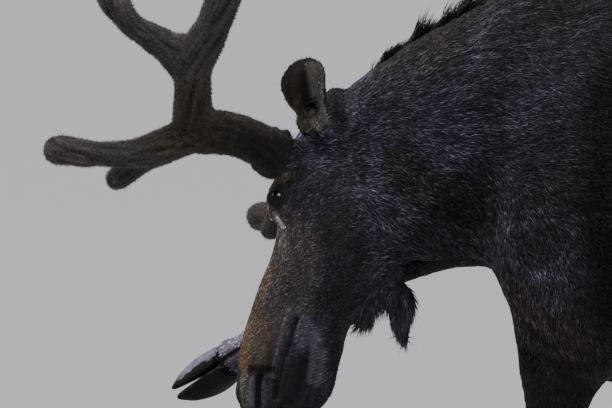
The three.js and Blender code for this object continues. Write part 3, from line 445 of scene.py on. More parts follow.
class Surface:
    """A surface of vertices v and triangles t, with smoothing and local refinement."""

    def __init__(self, verts, tris):
        self.v = verts
        self.t = tris
        self.link()

    def link(self):
        """Finds the edges."""
        n = len(self.v)
        pairs = np.vstack([self.t[:, [0, 1]], self.t[:, [1, 2]], self.t[:, [2, 0]]])
        codes = pairs.min(1).astype(np.int64) * n + pairs.max(1)
        self.codes, inverse = np.unique(codes, return_inverse=True)
        self.tri_edges = inverse.reshape(3, -1).T
        self.a, self.b = self.codes // n, self.codes % n
        self.degree = np.bincount(np.concatenate([self.a, self.b]), minlength=n)

    def around(self, values):
        """Mean of each vertex's neighbours."""
        n = len(self.v)
        columns = []
        for value in values.T:
            columns.append(np.bincount(self.a, value[self.b], n) + np.bincount(self.b, value[self.a], n))
        return np.stack(columns, 1) / self.degree[:, None]

    def smooth(self, weight, rounds, keep=True):
        """Evens the surface out where weight is above 0; keep holds its volume."""
        w = np.broadcast_to(weight, len(self.v))[:, None]
        steps = (SHRINK, -SWELL) if keep else (SHRINK,)
        for step in steps * rounds:
            self.v = self.v + step * w * (self.around(self.v) - self.v)

    def normals(self):
        """Outward direction at each vertex."""
        face = facing(self.v, self.t)
        out = np.zeros_like(self.v)
        for k in range(3):
            for c in range(3):
                out[:, c] += np.bincount(self.t[:, k], face[:, c], len(self.v))
        return unit(out)

    def refine(self, near):
        """Splits every edge whose two ends are near, and the triangles on it by 1, 2 or 3 cuts."""
        split = near[self.a] & near[self.b]
        mid = np.full(len(self.a), -1)
        mid[split] = len(self.v) + np.arange(split.sum())
        verts = np.vstack([self.v, (self.v[self.a[split]] + self.v[self.b[split]]) / 2])
        m = mid[self.tri_edges]
        cut = m >= 0
        many = cut.sum(1)
        keep = [self.t[many == 0]]
        t, e = self.t[many == 3], m[many == 3]
        keep += [np.stack([t[:, 0], e[:, 0], e[:, 2]], 1), np.stack([e[:, 0], t[:, 1], e[:, 1]], 1),
                 np.stack([e[:, 2], e[:, 1], t[:, 2]], 1), e]
        for turn in range(3):
            order = [turn, (turn + 1) % 3, (turn + 2) % 3]
            one = (many == 1) & cut[:, turn]
            t, e = self.t[one][:, order], m[one][:, turn]
            keep += [np.stack([t[:, 0], e, t[:, 2]], 1), np.stack([e, t[:, 1], t[:, 2]], 1)]
            two = (many == 2) & ~cut[:, order[2]]
            t, e, f = self.t[two][:, order], m[two][:, order[0]], m[two][:, order[1]]
            keep += [np.stack([e, t[:, 1], f], 1), np.stack([t[:, 0], e, f], 1),
                     np.stack([t[:, 0], f, t[:, 2]], 1)]
        self.v, self.t = verts, np.vstack(keep)
        self.link()


def in_scene(name, data):
    """A new object in the scene."""
    obj = bpy.data.objects.new(name, data)
    bpy.context.scene.collection.objects.link(obj)
    return obj


def mesh_object(name, verts, tris, smooth=True):
    """A Blender object of triangles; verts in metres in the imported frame."""
    mesh = bpy.data.meshes.new(name)
    mesh.vertices.add(len(verts))
    mesh.vertices.foreach_set("co", np.asarray(verts, np.float32).ravel())
    mesh.loops.add(3 * len(tris))
    mesh.loops.foreach_set("vertex_index", np.asarray(tris, np.int32).ravel())
    mesh.polygons.add(len(tris))
    mesh.polygons.foreach_set("loop_start", np.arange(0, 3 * len(tris), 3, dtype=np.int32))
    mesh.polygons.foreach_set("loop_total", np.full(len(tris), 3, np.int32))
    mesh.polygons.foreach_set("use_smooth", np.full(len(tris), smooth))
    mesh.update(calc_edges=True)
    return in_scene(name, mesh)


def fused(parts, voxel):
    """One Surface round all the closed parts, from a voxel remesh."""
    offset, verts, tris = 0, [], []
    for v, t in parts:
        verts.append(v)
        tris.append(t + offset)
        offset += len(v)
    obj = mesh_object("fusing", np.vstack(verts) / 1000, np.vstack(tris))
    remesh = obj.modifiers.new("Remesh", "REMESH")
    remesh.mode = "VOXEL"
    remesh.voxel_size = voxel / 1000
    depsgraph = bpy.context.evaluated_depsgraph_get()
    mesh = bpy.data.meshes.new_from_object(obj.evaluated_get(depsgraph))
    mesh.calc_loop_triangles()
    v = np.empty(3 * len(mesh.vertices), np.float32)
    t = np.empty(3 * len(mesh.loop_triangles), np.int32)
    mesh.vertices.foreach_get("co", v)
    mesh.loop_triangles.foreach_get("vertices", t)
    bpy.data.objects.remove(obj)
    bpy.data.meshes.remove(mesh)
    return Surface(v.reshape(-1, 3).astype(float) * 1000, t.reshape(-1, 3))


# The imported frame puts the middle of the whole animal's box at X = Y = 0.
bell_low = loft(body_rings(BELL[2:], 6, 12))[0].min(0)
packed_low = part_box("bell")[0]
SHIFT = np.array([packed_low[0] * 1000 - bell_low[0], packed_low[1] * 1000 - bell_low[1], 0.0])


def packed(p):
    """Points of the animal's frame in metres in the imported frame."""
    return (p + SHIFT) / 1000


# ---- feet
def foot_matrix(foot):
    """4x4 of a foot in the animal's frame."""
    spot, angles, _, _ = FEET[foot]
    roll, pitch, yaw = (math.radians(a) for a in angles)
    turn = (Matrix.Rotation(yaw, 4, "Z") @ Matrix.Rotation(pitch, 4, "Y") @ Matrix.Rotation(roll, 4, "X"))
    return np.array(Matrix.Translation(spot) @ turn)


def moved(matrix, p):
    """Points through a 4x4."""
    return p @ matrix[:3, :3].T + matrix[:3, 3]


def coronet_at(x):
    """Height of the coronet above the sole at x along the foot."""
    share = (x + CLAW_LENGTH * CORONET_BACK) / (CLAW_LENGTH * (CORONET_BACK + CORONET_FRONT))
    return CORONET_HEEL + (CORONET_HEIGHT - CORONET_HEEL) * share


def coronet_ring(foot, sides, grow, lift, back):
    """The ring where the leg's skin ends on top of the claws."""
    centre, reach = CORONET_ALONG
    middle, half = CORONET_ACROSS[foot == LIFTED_FOOT]
    angle = np.linspace(0, 2 * math.pi, sides, endpoint=False)
    x = centre + (reach + grow) * np.cos(angle)
    ring = np.stack([x - back, middle + (half + grow) * np.sin(angle), coronet_at(x) + lift], 1)
    return moved(foot_matrix(foot), ring)


def leg_part(foot, stations):
    """A whole leg from inside the trunk to the coronet."""
    rings = body_rings(stations, 110, 40)
    above = coronet_ring(foot, 40, *CORONET_FLARE[foot == LIFTED_FOOT])
    end = coronet_ring(foot, 40, 0, -3, 0)
    tail = [rings[-1] + (above - rings[-1]) * s for s in (0.33, 0.67, 1)]
    tail += [above + (end - above) * s for s in (0.5, 1)]
    return loft(np.concatenate([rings, np.array(tail)]))


def dewclaw_pad(foot, side, stations):
    """The flesh that carries a dewclaw, from inside the leg to the dewclaw's root."""
    x, z, _ = FEET[foot][3]
    root = moved(foot_matrix(foot), np.array([x, side * DEWCLAW_APART, z + 6.0]))
    centres = middle_line(stations)[0]
    inside = centres[np.argmin(np.linalg.norm(centres - root, axis=1))]
    path = [[*(inside + (root - inside) * share), radius, 1] for share, radius in PAD]
    return loft(tube_rings(path, 20, 24))


# ---- the skin's own shape
def ear_matrix(side):
    """Ear frame in the head frame: x base to tip, y across, z the open side."""
    along = unit(EAR_AXIS)
    opening = square_to(EAR_OPEN, along)
    across = np.cross(opening, along)
    turn = np.stack([along, across, opening], 1)
    base = EAR_BASE.copy()
    if side < 0:
        flip = np.diag([1.0, -1.0, 1.0])
        turn, base = flip @ turn, flip @ base
    return turn, base


def in_ear(p, name):
    """Points in an ear's own frame: x base to tip, y across, z out of the open side."""
    turn, base = ear_matrix(EARS[name])
    return (to_head(p) - base) @ turn


def ear_part(side):
    """An ear: a leaf-shaped cup with thick walls."""
    row = curve(EAR, np.linspace(0, 1, 46))
    share = np.linspace(-1, 1, 26)[None]
    outer = np.radians(row[:, 3:4]) * share
    inner = (np.radians(row[:, 3:4]) - math.radians(EAR_EDGE)) * share[:, ::-1]
    across, deep, wall, lean = row[:, 1:2], row[:, 2:3], row[:, 4:5], row[:, 5:6]
    x = np.repeat(row[:, 0:1], share.size, 1)
    first = np.stack([x, across * np.sin(outer) + lean, -deep * np.cos(outer)], -1)
    second = np.stack([x, (across - wall) * np.sin(inner) + lean, -(deep - wall) * np.cos(inner)], -1)
    turn, base = ear_matrix(side)
    rings = np.concatenate([first, second], 1) @ turn.T + base
    return loft(from_head(rings.reshape(-1, 3)).reshape(rings.shape), crescent=True)


def in_head(part):
    """A head-frame part in the animal's frame."""
    return from_head(part[0]), part[1]


head_parts = [
    loft(body_rings(NECK, 70, 80, 0.2, 1.0)),
    loft(body_rings(BELL[:3], 40, 48)),
    loft(tube_rings(BELL_STRAND, 30, 30)),
    loft(tube_rings(BELL_LOBE, 20, 30)),
    in_head(loft(body_rings(SKULL, 110, 80))),
    in_head(loft(body_rings(JAW, 40, 40))),
    ear_part(1),
    ear_part(-1),
]
for side in (1, -1):
    turn, base = ear_matrix(side)
    cushion = np.array(EAR_CUSHION, float)
    cushion[:, :3] = cushion[:, :3] @ turn.T + base
    head_parts += [
        in_head(loft(tube_rings(cushion, 30, 30))),
        in_head(ball([212, side * 78, -34], [62, 36, 43], 0, side * -6)),  # orbit
        in_head(ball([574, side * 62, -118], [40, 27, 34], 24, 0)),  # side of the nose
        in_head(loft(tube_rings(BEAM if side > 0 else flipped(BEAM), 14, 40, 0, BURR_AT * 1.1))),
    ]
body_parts = [
    loft(body_rings(TRUNK, 120, 90)),
    loft(body_rings(NECK, 60, 80, 0.0, 0.75)),
    loft(body_rings(TAIL, 24, 30)),
]
LEGS = {
    "foreleg_left": FORELEG, "hindleg_left": HINDLEG, "hindleg_right": flipped(HINDLEG),
    "foreleg_right": LIFTED_LEG,
}
for foot, stations in LEGS.items():
    body_parts.append(leg_part(foot, stations))
    body_parts += [dewclaw_pad(foot, side, stations) for side in (1, -1)]
head = fused(head_parts, HEAD_VOXEL)
body = fused(body_parts, BODY_VOXEL)


def side_strokes(surface, strokes, frame_points, mirror=True):
    """Raises (or sinks) the surface by height round each path: (path, radius, height)."""
    q = frame_points(surface.v)
    if mirror:
        q = on_left(q)
    rise = np.zeros(len(q))
    for path, radius, height in strokes:
        rise += height * np.exp(-(path_distance(q, path) / radius) ** 2)
    surface.v = surface.v + surface.normals() * rise[:, None]


# Body: joins evened out, then muscle and bone under the skin. Paths in the animal's frame.
body.smooth(1.0, 6)
joints = (blended(1560, 1460, body.v[:, 2]) * blended(930, 1040, body.v[:, 2])
          * blended(-300, -420, body.v[:, 0]))
shoulder = (blended(1440, 1540, body.v[:, 2]) * blended(-360, -420, body.v[:, 0])
            * blended(-760, -640, body.v[:, 0]) * blended(60, 100, np.abs(body.v[:, 1])))
body.smooth(np.maximum(joints, shoulder), 45, keep=False)
# Path, radius, height.
MUSCLES = [
    ([[-640, 110, 1880], [-560, 215, 1600], [-480, 225, 1400]], 60, 7),  # shoulder blade
    ([[-610, 250, 1470], [-600, 235, 1290]], 95, 12),  # triceps
    ([[-440, 190, 1390], [-425, 190, 1310]], 55, 10),  # point of the shoulder
    ([[-470, 130, 1800], [-410, 175, 1600], [-390, 175, 1420]], 40, -9),  # neck meets shoulder
    ([[-735, 270, 1480], [-730, 240, 1260]], 45, -9),  # behind the shoulder
    ([[-440, 192, 1262], [-474, 219, 1214], [-514, 230, 1172], [-559, 221, 1132], [-620, 205, 1100]],
     22, -14),  # crease under the upper arm
    ([[-490, 225, 1290], [-560, 230, 1215], [-630, 215, 1165]], 42, 9),  # edge of the upper arm
    ([[-1440, 260, 1560], [-1450, 260, 1400]], 95, -17),  # flank hollow
    ([[-1530, 190, 1715]], 60, 13),  # hip bone
    ([[-1700, 240, 1520], [-1650, 250, 1330]], 130, 10),  # thigh
    ([[-1480, 230, 1240]], 70, 10),  # stifle
    ([[-1850, 215, 1520], [-1800, 235, 1250]], 34, -8),  # back of the thigh
    ([[-1740, 190, 900], [-1790, 210, 800]], 26, -7),  # above the hock
    ([[-1895, 228, 672]], 22, 5),  # point of the hock
    ([[-425, 78, 600]], 30, 4),  # knee
    ([[-480, 75, 470], [-478, 45, 300]], 13, -4),  # tendon groove of the foreleg
    ([[-1855, 233, 500], [-1850, 236, 300]], 13, -4),  # tendon groove of the hind leg
]
side_strokes(body, MUSCLES, lambda p: p)


def in_lifted_foot(p):
    """The animal's points in the lifted foot's frame: x to the toes, y left, z out of its front."""
    matrix = foot_matrix(LIFTED_FOOT)
    return (p - matrix[:3, 3]) @ matrix[:3, :3]


# The lifted foot's skin parts between its two toes, as far back as the pastern.
for _ in range(2):
    q = in_lifted_foot(body.v)
    body.refine((q[:, 0] > -130) & (np.linalg.norm(q - [-50, 0, 100], axis=1) < 120))
q = in_lifted_foot(body.v)
TOE_GROOVE = []
for x in (20, 0, -20, -40, -60, -80, -100):
    near = (np.abs(q[:, 0] - x) < 5) & (np.abs(q[:, 1]) < 6)
    TOE_GROOVE.append([x, 0, q[near, 2].max() if near.any() else coronet_at(x)])
side_strokes(body, [(TOE_GROOVE, 8, -9)], in_lifted_foot, mirror=False)

# Head: features in the head frame, on the left cheek and mirrored.
head.smooth(1.0, 8)
q = to_head(head.v)
flesh = blended(-60, 20, q[:, 0]) * blended(140, 118, np.abs(q[:, 1]))
head.smooth(flesh * 0.8, 10, keep=False)


def from_eye(q):
    """Distance from the nearer eye's middle, in the head frame."""
    return np.linalg.norm(on_left(q) - EYE_SPOT, axis=1)


def cheek(n, d):
    """The skin point in the head frame of the left side of the head at x = n and z = d."""
    q = to_head(head.v)
    near = (np.abs(q[:, 0] - n) < 6) & (np.abs(q[:, 2] - d) < 6) & (q[:, 1] > 5) & (q[:, 1] < 125)
    return [n, q[near, 1].max() if near.any() else 40, d]


def on_cheek(*points):
    """A path on the left side of the head."""
    return [cheek(n, d) for n, d in points]


# The head's large forms: path, radius, height.
FORMS = [
    (on_cheek((150, -8), (192, 10)), 16, 4),  # brow
    ([(236, 98, 0), (258, 92, -15), (276, 80, -26)], 15, -12),  # before the eye
    (on_cheek((110, -60), (140, -30)), 26, -6),  # temple
    (on_cheek((275, -62), (330, -84), (400, -100)), 15, 4.5),  # facial crest
    (on_cheek((300, -128), (370, -130)), 24, -5),  # under the crest
    (on_cheek((150, -190), (215, -200)), 58, 7),  # cheek muscle
    (on_cheek((255, -236), (330, -214)), 20, -5),  # jaw line
    (on_cheek((470, -110), (520, -120)), 26, 4),  # side of the nose
    (on_cheek((470, -178), (520, -185), (570, -182)), 20, 7),  # upper lip
    (on_cheek((440, -222), (520, -232)), 14, 3),  # chin
]
side_strokes(head, FORMS, to_head)
q = to_head(head.v)
muzzle = (q[:, 0] > 405) & (np.abs(q[:, 1]) < 130) & (q[:, 2] < -60)
head.refine(muzzle)
for reach in (46, 32):
    head.refine(from_eye(to_head(head.v)) < reach)
# Lines of the face as (n, d), for folds, markings with painted light and shade, and bare skin alike.
FOLD = [(415, -141), (435, -142), (458, -147), (478, -151), (498, -153), (522, -162), (560, -176)]
RIDGE = [(407, -123), (432, -127), (457, -134), (480, -140), (502, -147), (526, -152)]
OVERHANG = [(537, -106), (532, -120), (524, -136), (520, -146)]
NOSTRIL = [(540, -128), (553, -129), (570, -136), (592, -148)]
WING = [(552, -117), (573, -126), (596, -136)]
TEAR = [(235, -20), (244, -27), (254, -38), (264, -50)]
CHIN = [(455, -202), (480, -211), (505, -218)]
CHIN_STEP, CHIN_RISE = 5.6, 1.6  # the chin's ripples: from crest to crest, and their height
CHIN_ACROSS = (0.654, -0.757)  # across the ripples, as (n, d)


def chin_ripple(q):
    """Fine folds across the chin, 1 on their crests and 0 between them and elsewhere."""
    near = blended(17, 9, path_distance(q[:, [0, 2]], CHIN))
    across = CHIN_ACROSS[0] * q[:, 0] + CHIN_ACROSS[1] * q[:, 2]
    return near * (0.5 + 0.5 * np.cos(across * 2 * math.pi / CHIN_STEP))


# The face's fine folds: path, radius, height.
FOLDS = [
    (on_cheek(*FOLD), 5.5, -10),
    (on_cheek(*RIDGE), 7, 4),
    (on_cheek((472, -121), (497, -131), (522, -142)), 4, -3),
    (on_cheek((425, -160), (446, -170), (462, -184)), 13, 3),  # corner of the lip
    (on_cheek((446, -206), (478, -218), (515, -224), (560, -230)), 7, -8),  # mouth
    (on_cheek((470, -85), (500, -100)), 30, 7),  # bulb of the nose
    (on_cheek(*OVERHANG), 7, -8),
    (on_cheek(*NOSTRIL), 8, -15),
    (on_cheek(*WING), 5, 5),
    (on_cheek((556, -145), (573, -153), (588, -162)), 6, 5),
    (on_cheek((557, -96), (580, -112), (600, -124)), 7, 4),  # front of the nose
    (on_cheek(*TEAR), 6, -2.4),
    (on_cheek((246, -62), (228, -70), (206, -66)), 5, -1.5),  # fold under the eye
]
side_strokes(head, FOLDS, to_head)
head.v = head.v + head.normals() * (CHIN_RISE * chin_ripple(to_head(head.v)))[:, None]
# The ears' folds, with paths in the ear's own frame.
EAR_FOLDS = [
    ([(60, 24, -10), (54, 11, -20), (60, -4, -22)], 4, 2.6),
    ([(70, 26, -10), (66, 11, -22), (72, -6, -22)], 4, -2.4),
    ([(80, 28, -10), (76, 11, -24), (84, -8, -20)], 4, 2.4),
    ([(40, -14, 12), (74, -18, 8), (110, -16, -10)], 6, 3),
]
for name in EARS:
    side_strokes(head, EAR_FOLDS, lambda p, name=name: in_ear(p, name), mirror=False)

# Lids: the skin goes inside the eyeball in an almond opening and stands proud of it outside.
LID_PROUD, LID_INSIDE = 2.6, 5.0
LID_OPENING, LID_FLAT, LID_CORNER = 38, 3, 9  # degrees: half opening, less above, more at the corner
q = to_head(head.v)
sign = np.where(q[:, 1] < 0, -1.0, 1.0)
q[:, 1] *= sign
ray = q - EYE_SPOT
far = np.linalg.norm(ray, axis=1)
out_axis = unit(np.array([0.0, 1.0, 0.02]))
front_axis = square_to(np.array([0.93, -0.12, -0.36]), out_axis)
high_axis = np.cross(out_axis, front_axis)
way = unit(ray)
height = np.clip(way @ out_axis, -1, 1)
spread = np.degrees(np.arccos(height))
around = np.arctan2(way @ high_axis, way @ front_axis)
opening = LID_OPENING - LID_FLAT * np.sin(around) ** 2 + LID_CORNER * np.exp(-(around / 0.4) ** 2)
lid = blended(opening - 4, opening + 5, spread)
radius = (EYE_RADIUS - LID_INSIDE) + (LID_INSIDE + LID_PROUD) * lid
fold = 1.5 * np.exp(-((spread - opening - 24) / 6) ** 2)
target = np.where(spread < opening + 5, radius, np.maximum(far - fold, EYE_RADIUS + LID_PROUD))
close = blended(40, 30, far) * (height > 0.05)
q = EYE_SPOT + way * (far + (target - far) * close)[:, None]
q[:, 1] *= sign
head.v = from_head(q)


# ---- head and body made one
NECK_FLOOR = 1200  # the neck is above this height
RAISED_TOP, RAISED_SIDE = 1385, -135  # the lifted leg is below this height and right of this plane


def cut_neck(surface, level, keep_front):
    """Parts the neck at a plane across X; returns the kept surface and the open edge in order."""
    v, t = surface.v.copy(), surface.t
    neck = ~((v[:, 2] < RAISED_TOP) & (v[:, 1] < RAISED_SIDE)) & (v[:, 2] > NECK_FLOOR)
    ahead = v[:, 0] > level
    drop = (ahead != keep_front) & neck
    tris = t[~drop[t].any(1)]
    pairs = np.vstack([tris[:, [0, 1]], tris[:, [1, 2]], tris[:, [2, 0]]])
    n = len(v)
    codes = pairs[:, 0].astype(np.int64) * n + pairs[:, 1]
    back = pairs[:, 1].astype(np.int64) * n + pairs[:, 0]
    rim = pairs[~np.isin(codes, back)]
    follow = dict(rim.tolist())
    loops = []
    while follow:
        start = next(iter(follow))
        ring, at = [], start
        while at in follow:
            ring.append(at)
            at = follow.pop(at)
        loops.append(ring)
    loop = max(loops, key=len)
    v[loop, 0] = level
    return v, tris, np.array(loop)


def ordered(verts, loop, middle):
    """A loop of vertices round the neck, from its top and always the same way round."""
    p = verts[loop] - middle
    angle = np.arctan2(p[:, 1], p[:, 2])
    if np.sum(np.cross(p[:, 1:], np.roll(p, -1, 0)[:, 1:])) < 0:
        loop, angle = loop[::-1], angle[::-1]
    return np.roll(loop, -int(np.argmin(np.abs(angle))))


def zipped(head_surface, body_surface):
    """One surface: the two open neck edges joined by a strip of triangles."""
    head_verts, head_tris, head_loop = cut_neck(head_surface, NECK_SEAM + 4, True)
    body_verts, body_tris, body_loop = cut_neck(body_surface, NECK_SEAM - 4, False)
    verts = np.vstack([head_verts, body_verts])
    middle = verts[head_loop].mean(0)
    a = ordered(verts, head_loop, middle)
    b = ordered(verts, body_loop + len(head_verts), middle)
    i = j = 0
    strip = []
    while i < len(a) or j < len(b):
        at_a, at_b = a[i % len(a)], b[j % len(b)]
        next_a, next_b = a[(i + 1) % len(a)], b[(j + 1) % len(b)]
        step_a = np.linalg.norm(verts[next_a] - verts[at_b])
        step_b = np.linalg.norm(verts[next_b] - verts[at_a])
        if j >= len(b) or (i < len(a) and step_a <= step_b):
            strip.append([at_a, next_a, at_b])
            i += 1
        else:
            strip.append([at_a, next_b, at_b])
            j += 1
    strip = np.array(strip)
    outward = np.sum(facing(verts, strip) * (verts[strip].mean(1) - middle))
    if outward < 0:
        strip = strip[:, ::-1]
    joined = np.vstack([head_tris, body_tris + len(head_verts), strip])
    keep, inverse = np.unique(joined, return_inverse=True)
    return Surface(verts[keep], inverse.reshape(-1, 3))


skin = zipped(head, body)
skin.smooth(blended(55, 20, np.abs(skin.v[:, 0] - NECK_SEAM)) * (skin.v[:, 2] > NECK_FLOOR), 12)

# ---- which part a point belongs to
PARTS = {
    "trunk": TRUNK, "neck": NECK, "foreleg_left": FORELEG[4:], "hindleg_left": HINDLEG[4:],
    "hindleg_right": flipped(HINDLEG[4:]), "foreleg_right": LIFTED_LEG[2:], "tail": TAIL,
    "bell": BELL[2:],
}
LINES = {name: middle_line(stations) for name, stations in PARTS.items()}
head_line = middle_line(SKULL)
LINES["head"] = (from_head(head_line[0]), head_line[1])
for name, side in EARS.items():
    turn, base = ear_matrix(side)
    at = np.linspace(30, 228, 12)[:, None]
    LINES[name] = (from_head(base + at * turn[:, 0]), np.full(12, 34.0))
NAMES = list(LINES)
STANDING = ("foreleg_left", "hindleg_left", "hindleg_right")
BELL_TOP = 1275  # the bell's coat begins below this height
EAR_FOOT = 26  # an ear's own coat begins this far up the ear


def take_nearer(best, ratio, pairs):
    """Where ratio beats best, each kept array of the pairs takes its new values."""
    closer = ratio < best
    best[closer] = ratio[closer]
    for kept, new in pairs:
        kept[closer] = new[closer]


def along_line(p, line):
    """For each point: distance along the line, angle round it, distance over radius, offset."""
    points, radii = line
    steps = np.linalg.norm(np.diff(points, axis=0), axis=1)
    start = np.concatenate([[0], np.cumsum(steps)])
    best = np.full(len(p), np.inf)
    length = np.zeros(len(p))
    angle = np.zeros(len(p))
    aside = np.zeros((len(p), 3))
    for k in range(len(steps)):
        ab = points[k + 1] - points[k]
        s = np.clip((p - points[k]) @ ab / (ab @ ab), 0, 1)
        off = p - points[k] - ab * s[:, None]
        radius = radii[k] + (radii[k + 1] - radii[k]) * s
        ratio = np.linalg.norm(off, axis=1) / np.maximum(radius, 8)
        sideways = unit(np.array([0.0, 1.0, 0.0]) - unit(ab) * unit(ab)[1])
        turn = np.arctan2(off @ sideways, off @ np.cross(unit(ab), sideways))
        take_nearer(best, ratio, ((length, start[k] + s * steps[k]), (angle, turn), (aside, off)))
    return length, angle, best, aside


def is_part(label, *names):
    """Where the labels, which are indexes in NAMES, are those of any of the named parts."""
    return np.isin(label, [NAMES.index(name) for name in names])


def part_of(p):
    """Index in NAMES of the part each point belongs to, and its (along, angle) there."""
    best = np.full(len(p), np.inf)
    label = np.zeros(len(p), int)
    place = np.zeros((len(p), 2))
    for k, name in enumerate(NAMES):
        length, angle, ratio, _ = along_line(p, LINES[name])
        if name in EARS:
            local = in_ear(p, name)
            near = (local[:, 0] > EAR_FOOT) & (np.abs(local[:, 1]) < 56) & (np.abs(local[:, 2]) < 48)
            ratio = np.where(near, 0.05, np.inf)
        if name == "bell":
            ratio = np.where(p[:, 2] < BELL_TOP, ratio * 0.8, np.inf)
        take_nearer(best, ratio, ((label, np.full(len(p), k)), (place, np.stack([length, angle], 1))))
    return label, place


# ---- lie of the coat
# (place, direction, reach): where the hair points, in the animal's frame, alike on both sides.
LIE = [
    ([-200, 60, 1700], [-1, 0, 0.15], 110), ([-350, 60, 1790], [-1, 0, 0.12], 110),
    ([-500, 60, 1880], [-1, 0, -0.02], 120), ([-200, 130, 1560], [-1, 0, -0.05], 110),
    ([-350, 150, 1620], [-1, 0, -0.15], 110), ([-300, 130, 1470], [-0.9, 0, -0.55], 90),
    ([-200, 60, 1360], [-0.8, 0, -0.6], 90), ([-320, 110, 1370], [-0.6, 0, -0.8], 90),
    ([-480, 200, 1720], [-1, 0, -0.25], 110), ([-500, 220, 1540], [-0.95, 0, -0.2], 100),
    ([-450, 180, 1380], [-0.55, 0, -0.8], 90), ([-520, 200, 1250], [-0.35, 0, -0.95], 100),
    ([-600, 80, 1130], [-0.6, 0, -0.6], 100), ([-680, 60, 1930], [-1, 0, -0.15], 130),
    ([-700, 210, 1750], [-0.8, 0, -0.6], 130), ([-740, 260, 1450], [-0.65, 0, -0.75], 130),
    ([-1000, 280, 1450], [-0.85, 0, -0.5], 160), ([-1250, 290, 1450], [-0.9, 0, -0.45], 160),
    ([-1000, 100, 1830], [-1, 0, -0.2], 150), ([-1000, 120, 1100], [-1, 0, 0], 130),
    ([-1300, 290, 1250], [-0.8, 0, -0.5], 130), ([-1480, 250, 1500], [-0.65, 0, -0.75], 130),
    ([-1700, 230, 1550], [-0.55, 0, -0.8], 130), ([-1850, 180, 1450], [-0.3, 0, -0.95], 120),
    ([-1650, 240, 1250], [-0.4, 0, -0.9], 120), ([-1500, 60, 1757], [-1, 0, -0.15], 130),
    ([-1950, 50, 1560], [-0.25, 0, -0.95], 100), ([-1990, 10, 1540], [-0.1, 0, -1], 60),
    ([-1650, 205, 1000], [-0.25, 0, -1], 120), ([-1800, 222, 780], [-0.3, 0, -0.95], 110),
    ([-1830, 230, 500], [0, 0, -1], 130), ([-1815, 236, 200], [0.1, 0, -1], 120),
    ([-160, 24, 1220], [-0.02, 0, -1], 62), ([-110, 30, 1300], [-0.25, 0, -0.95], 60),
]
LIE_LEFT = [
    ([-500, 150, 1100], [0, 0, -1], 100), ([-480, 110, 820], [0, 0, -1], 130),
    ([-460, 70, 560], [0, 0, -1], 130), ([-450, 35, 260], [0.1, 0, -1], 130),
]
LIE_RIGHT = [
    ([-640, -175, 1250], [0.3, 0, -0.5], 90), ([-500, -184, 1270], [0.9, 0, 0.2], 80),
    ([-380, -191, 1315], [1, 0, 0.1], 80), ([-250, -194, 1314], [0.9, 0, -0.35], 80),
    ([-100, -194, 1257], [0.93, 0, -0.4], 90), ([60, -182, 1180], [0.85, 0.1, -0.5], 80),
    ([120, -173, 1145], [0.8, 0.2, -0.55], 60),
]
# The same in the head frame.
LIE_HEAD = [
    ([60, 40, 10], [-1, 0.25, 0], 60), ([150, 40, 30], [-1, 0.15, 0], 60),
    ([230, 100, -20], [-0.9, 0.2, -0.3], 45), ([300, 25, -18], [-0.9, 0.35, -0.25], 60),
    ([400, 25, -25], [-0.9, 0.4, -0.3], 60), ([470, 30, -35], [-0.8, 0.5, -0.3], 55),
    ([560, 40, -70], [-0.7, 0.5, -0.3], 50), ([630, 20, -130], [-0.5, 0.4, -0.3], 45),
    ([200, 108, -110], [-0.8, 0, -0.6], 60), ([120, 100, -150], [-0.95, 0, -0.3], 60),
    ([300, 80, -110], [-0.75, 0, -0.65], 60), ([400, 66, -110], [-0.75, 0, -0.65], 55),
    ([500, 78, -110], [-0.6, 0, -0.75], 45), ([440, 60, -170], [-0.35, 0, -0.9], 40),
    ([520, 80, -180], [-0.2, 0, -0.95], 40), ([500, 48, -230], [-0.55, 0, -0.8], 45),
    ([300, 55, -240], [-0.85, 0, -0.5], 55), ([180, 60, -262], [-0.95, 0, -0.1], 60),
    ([40, 80, -120], [-1, 0.1, 0.05], 60),
]


WAVES = 7


def swirl(p, scale, seed):
    """A smooth random value over space, mostly from -1 to 1, from a few waves about scale long."""
    mix = np.random.default_rng(seed)
    total = np.zeros(len(p))
    for _ in range(WAVES):
        wave = mix.normal(size=3)
        wave *= 2 * math.pi / scale / np.linalg.norm(wave) * mix.uniform(0.6, 1.5)
        total += np.sin(p @ wave + mix.uniform(0, 2 * math.pi))
    return total / (WAVES / 2)


def lie_of_coat(p, normal, label):
    """The direction the hair lies at each point, along the skin."""
    q = to_head(p)
    head_here = is_part(label, "head")
    total = np.zeros_like(p)
    # Each group: its entries, the points they are measured from, and whose side they follow.
    groups = ((LIE, on_left(p), p), (LIE_LEFT, p, None), (LIE_RIGHT, p, None), (LIE_HEAD, on_left(q), q))
    for entries, where, sided in groups:
        for spot, direction, reach in entries:
            w = np.exp(-np.sum((where - np.array(spot, float)) ** 2, 1) / reach ** 2) + 1e-12
            way = np.repeat(unit(np.array(direction, float))[None], len(p), 0)
            if sided is not None:
                way[:, 1] *= np.sign(sided[:, 1])
            if entries is LIE_HEAD:
                way = way @ HEAD_TURN.T
                w = w * head_here
            total += w[:, None] * way
    for name, side in EARS.items():
        total[is_part(label, name)] = ear_matrix(side)[0][:, 0] @ HEAD_TURN.T
    total[is_part(label, "bell")] = [-0.03, 0, -1]
    flow = unit(total)
    flow = unit(flow - normal * np.sum(flow * normal, 1)[:, None])
    bend = 0.32 * swirl(p, 95, 5) + 0.16 * swirl(p, 33, 6)
    across = np.cross(normal, flow)
    return flow * np.cos(bend)[:, None] + across * np.sin(bend)[:, None]


# ---- markings and painted light and shade, one rule for skin and coat
def plain(colour, p):
    """One colour for all the points."""
    return np.repeat(np.array([colour]), len(p), 0)


def mixed(a, b, w):
    """Colour a turning into b by w."""
    return a + (np.asarray(b) - a) * w[:, None]


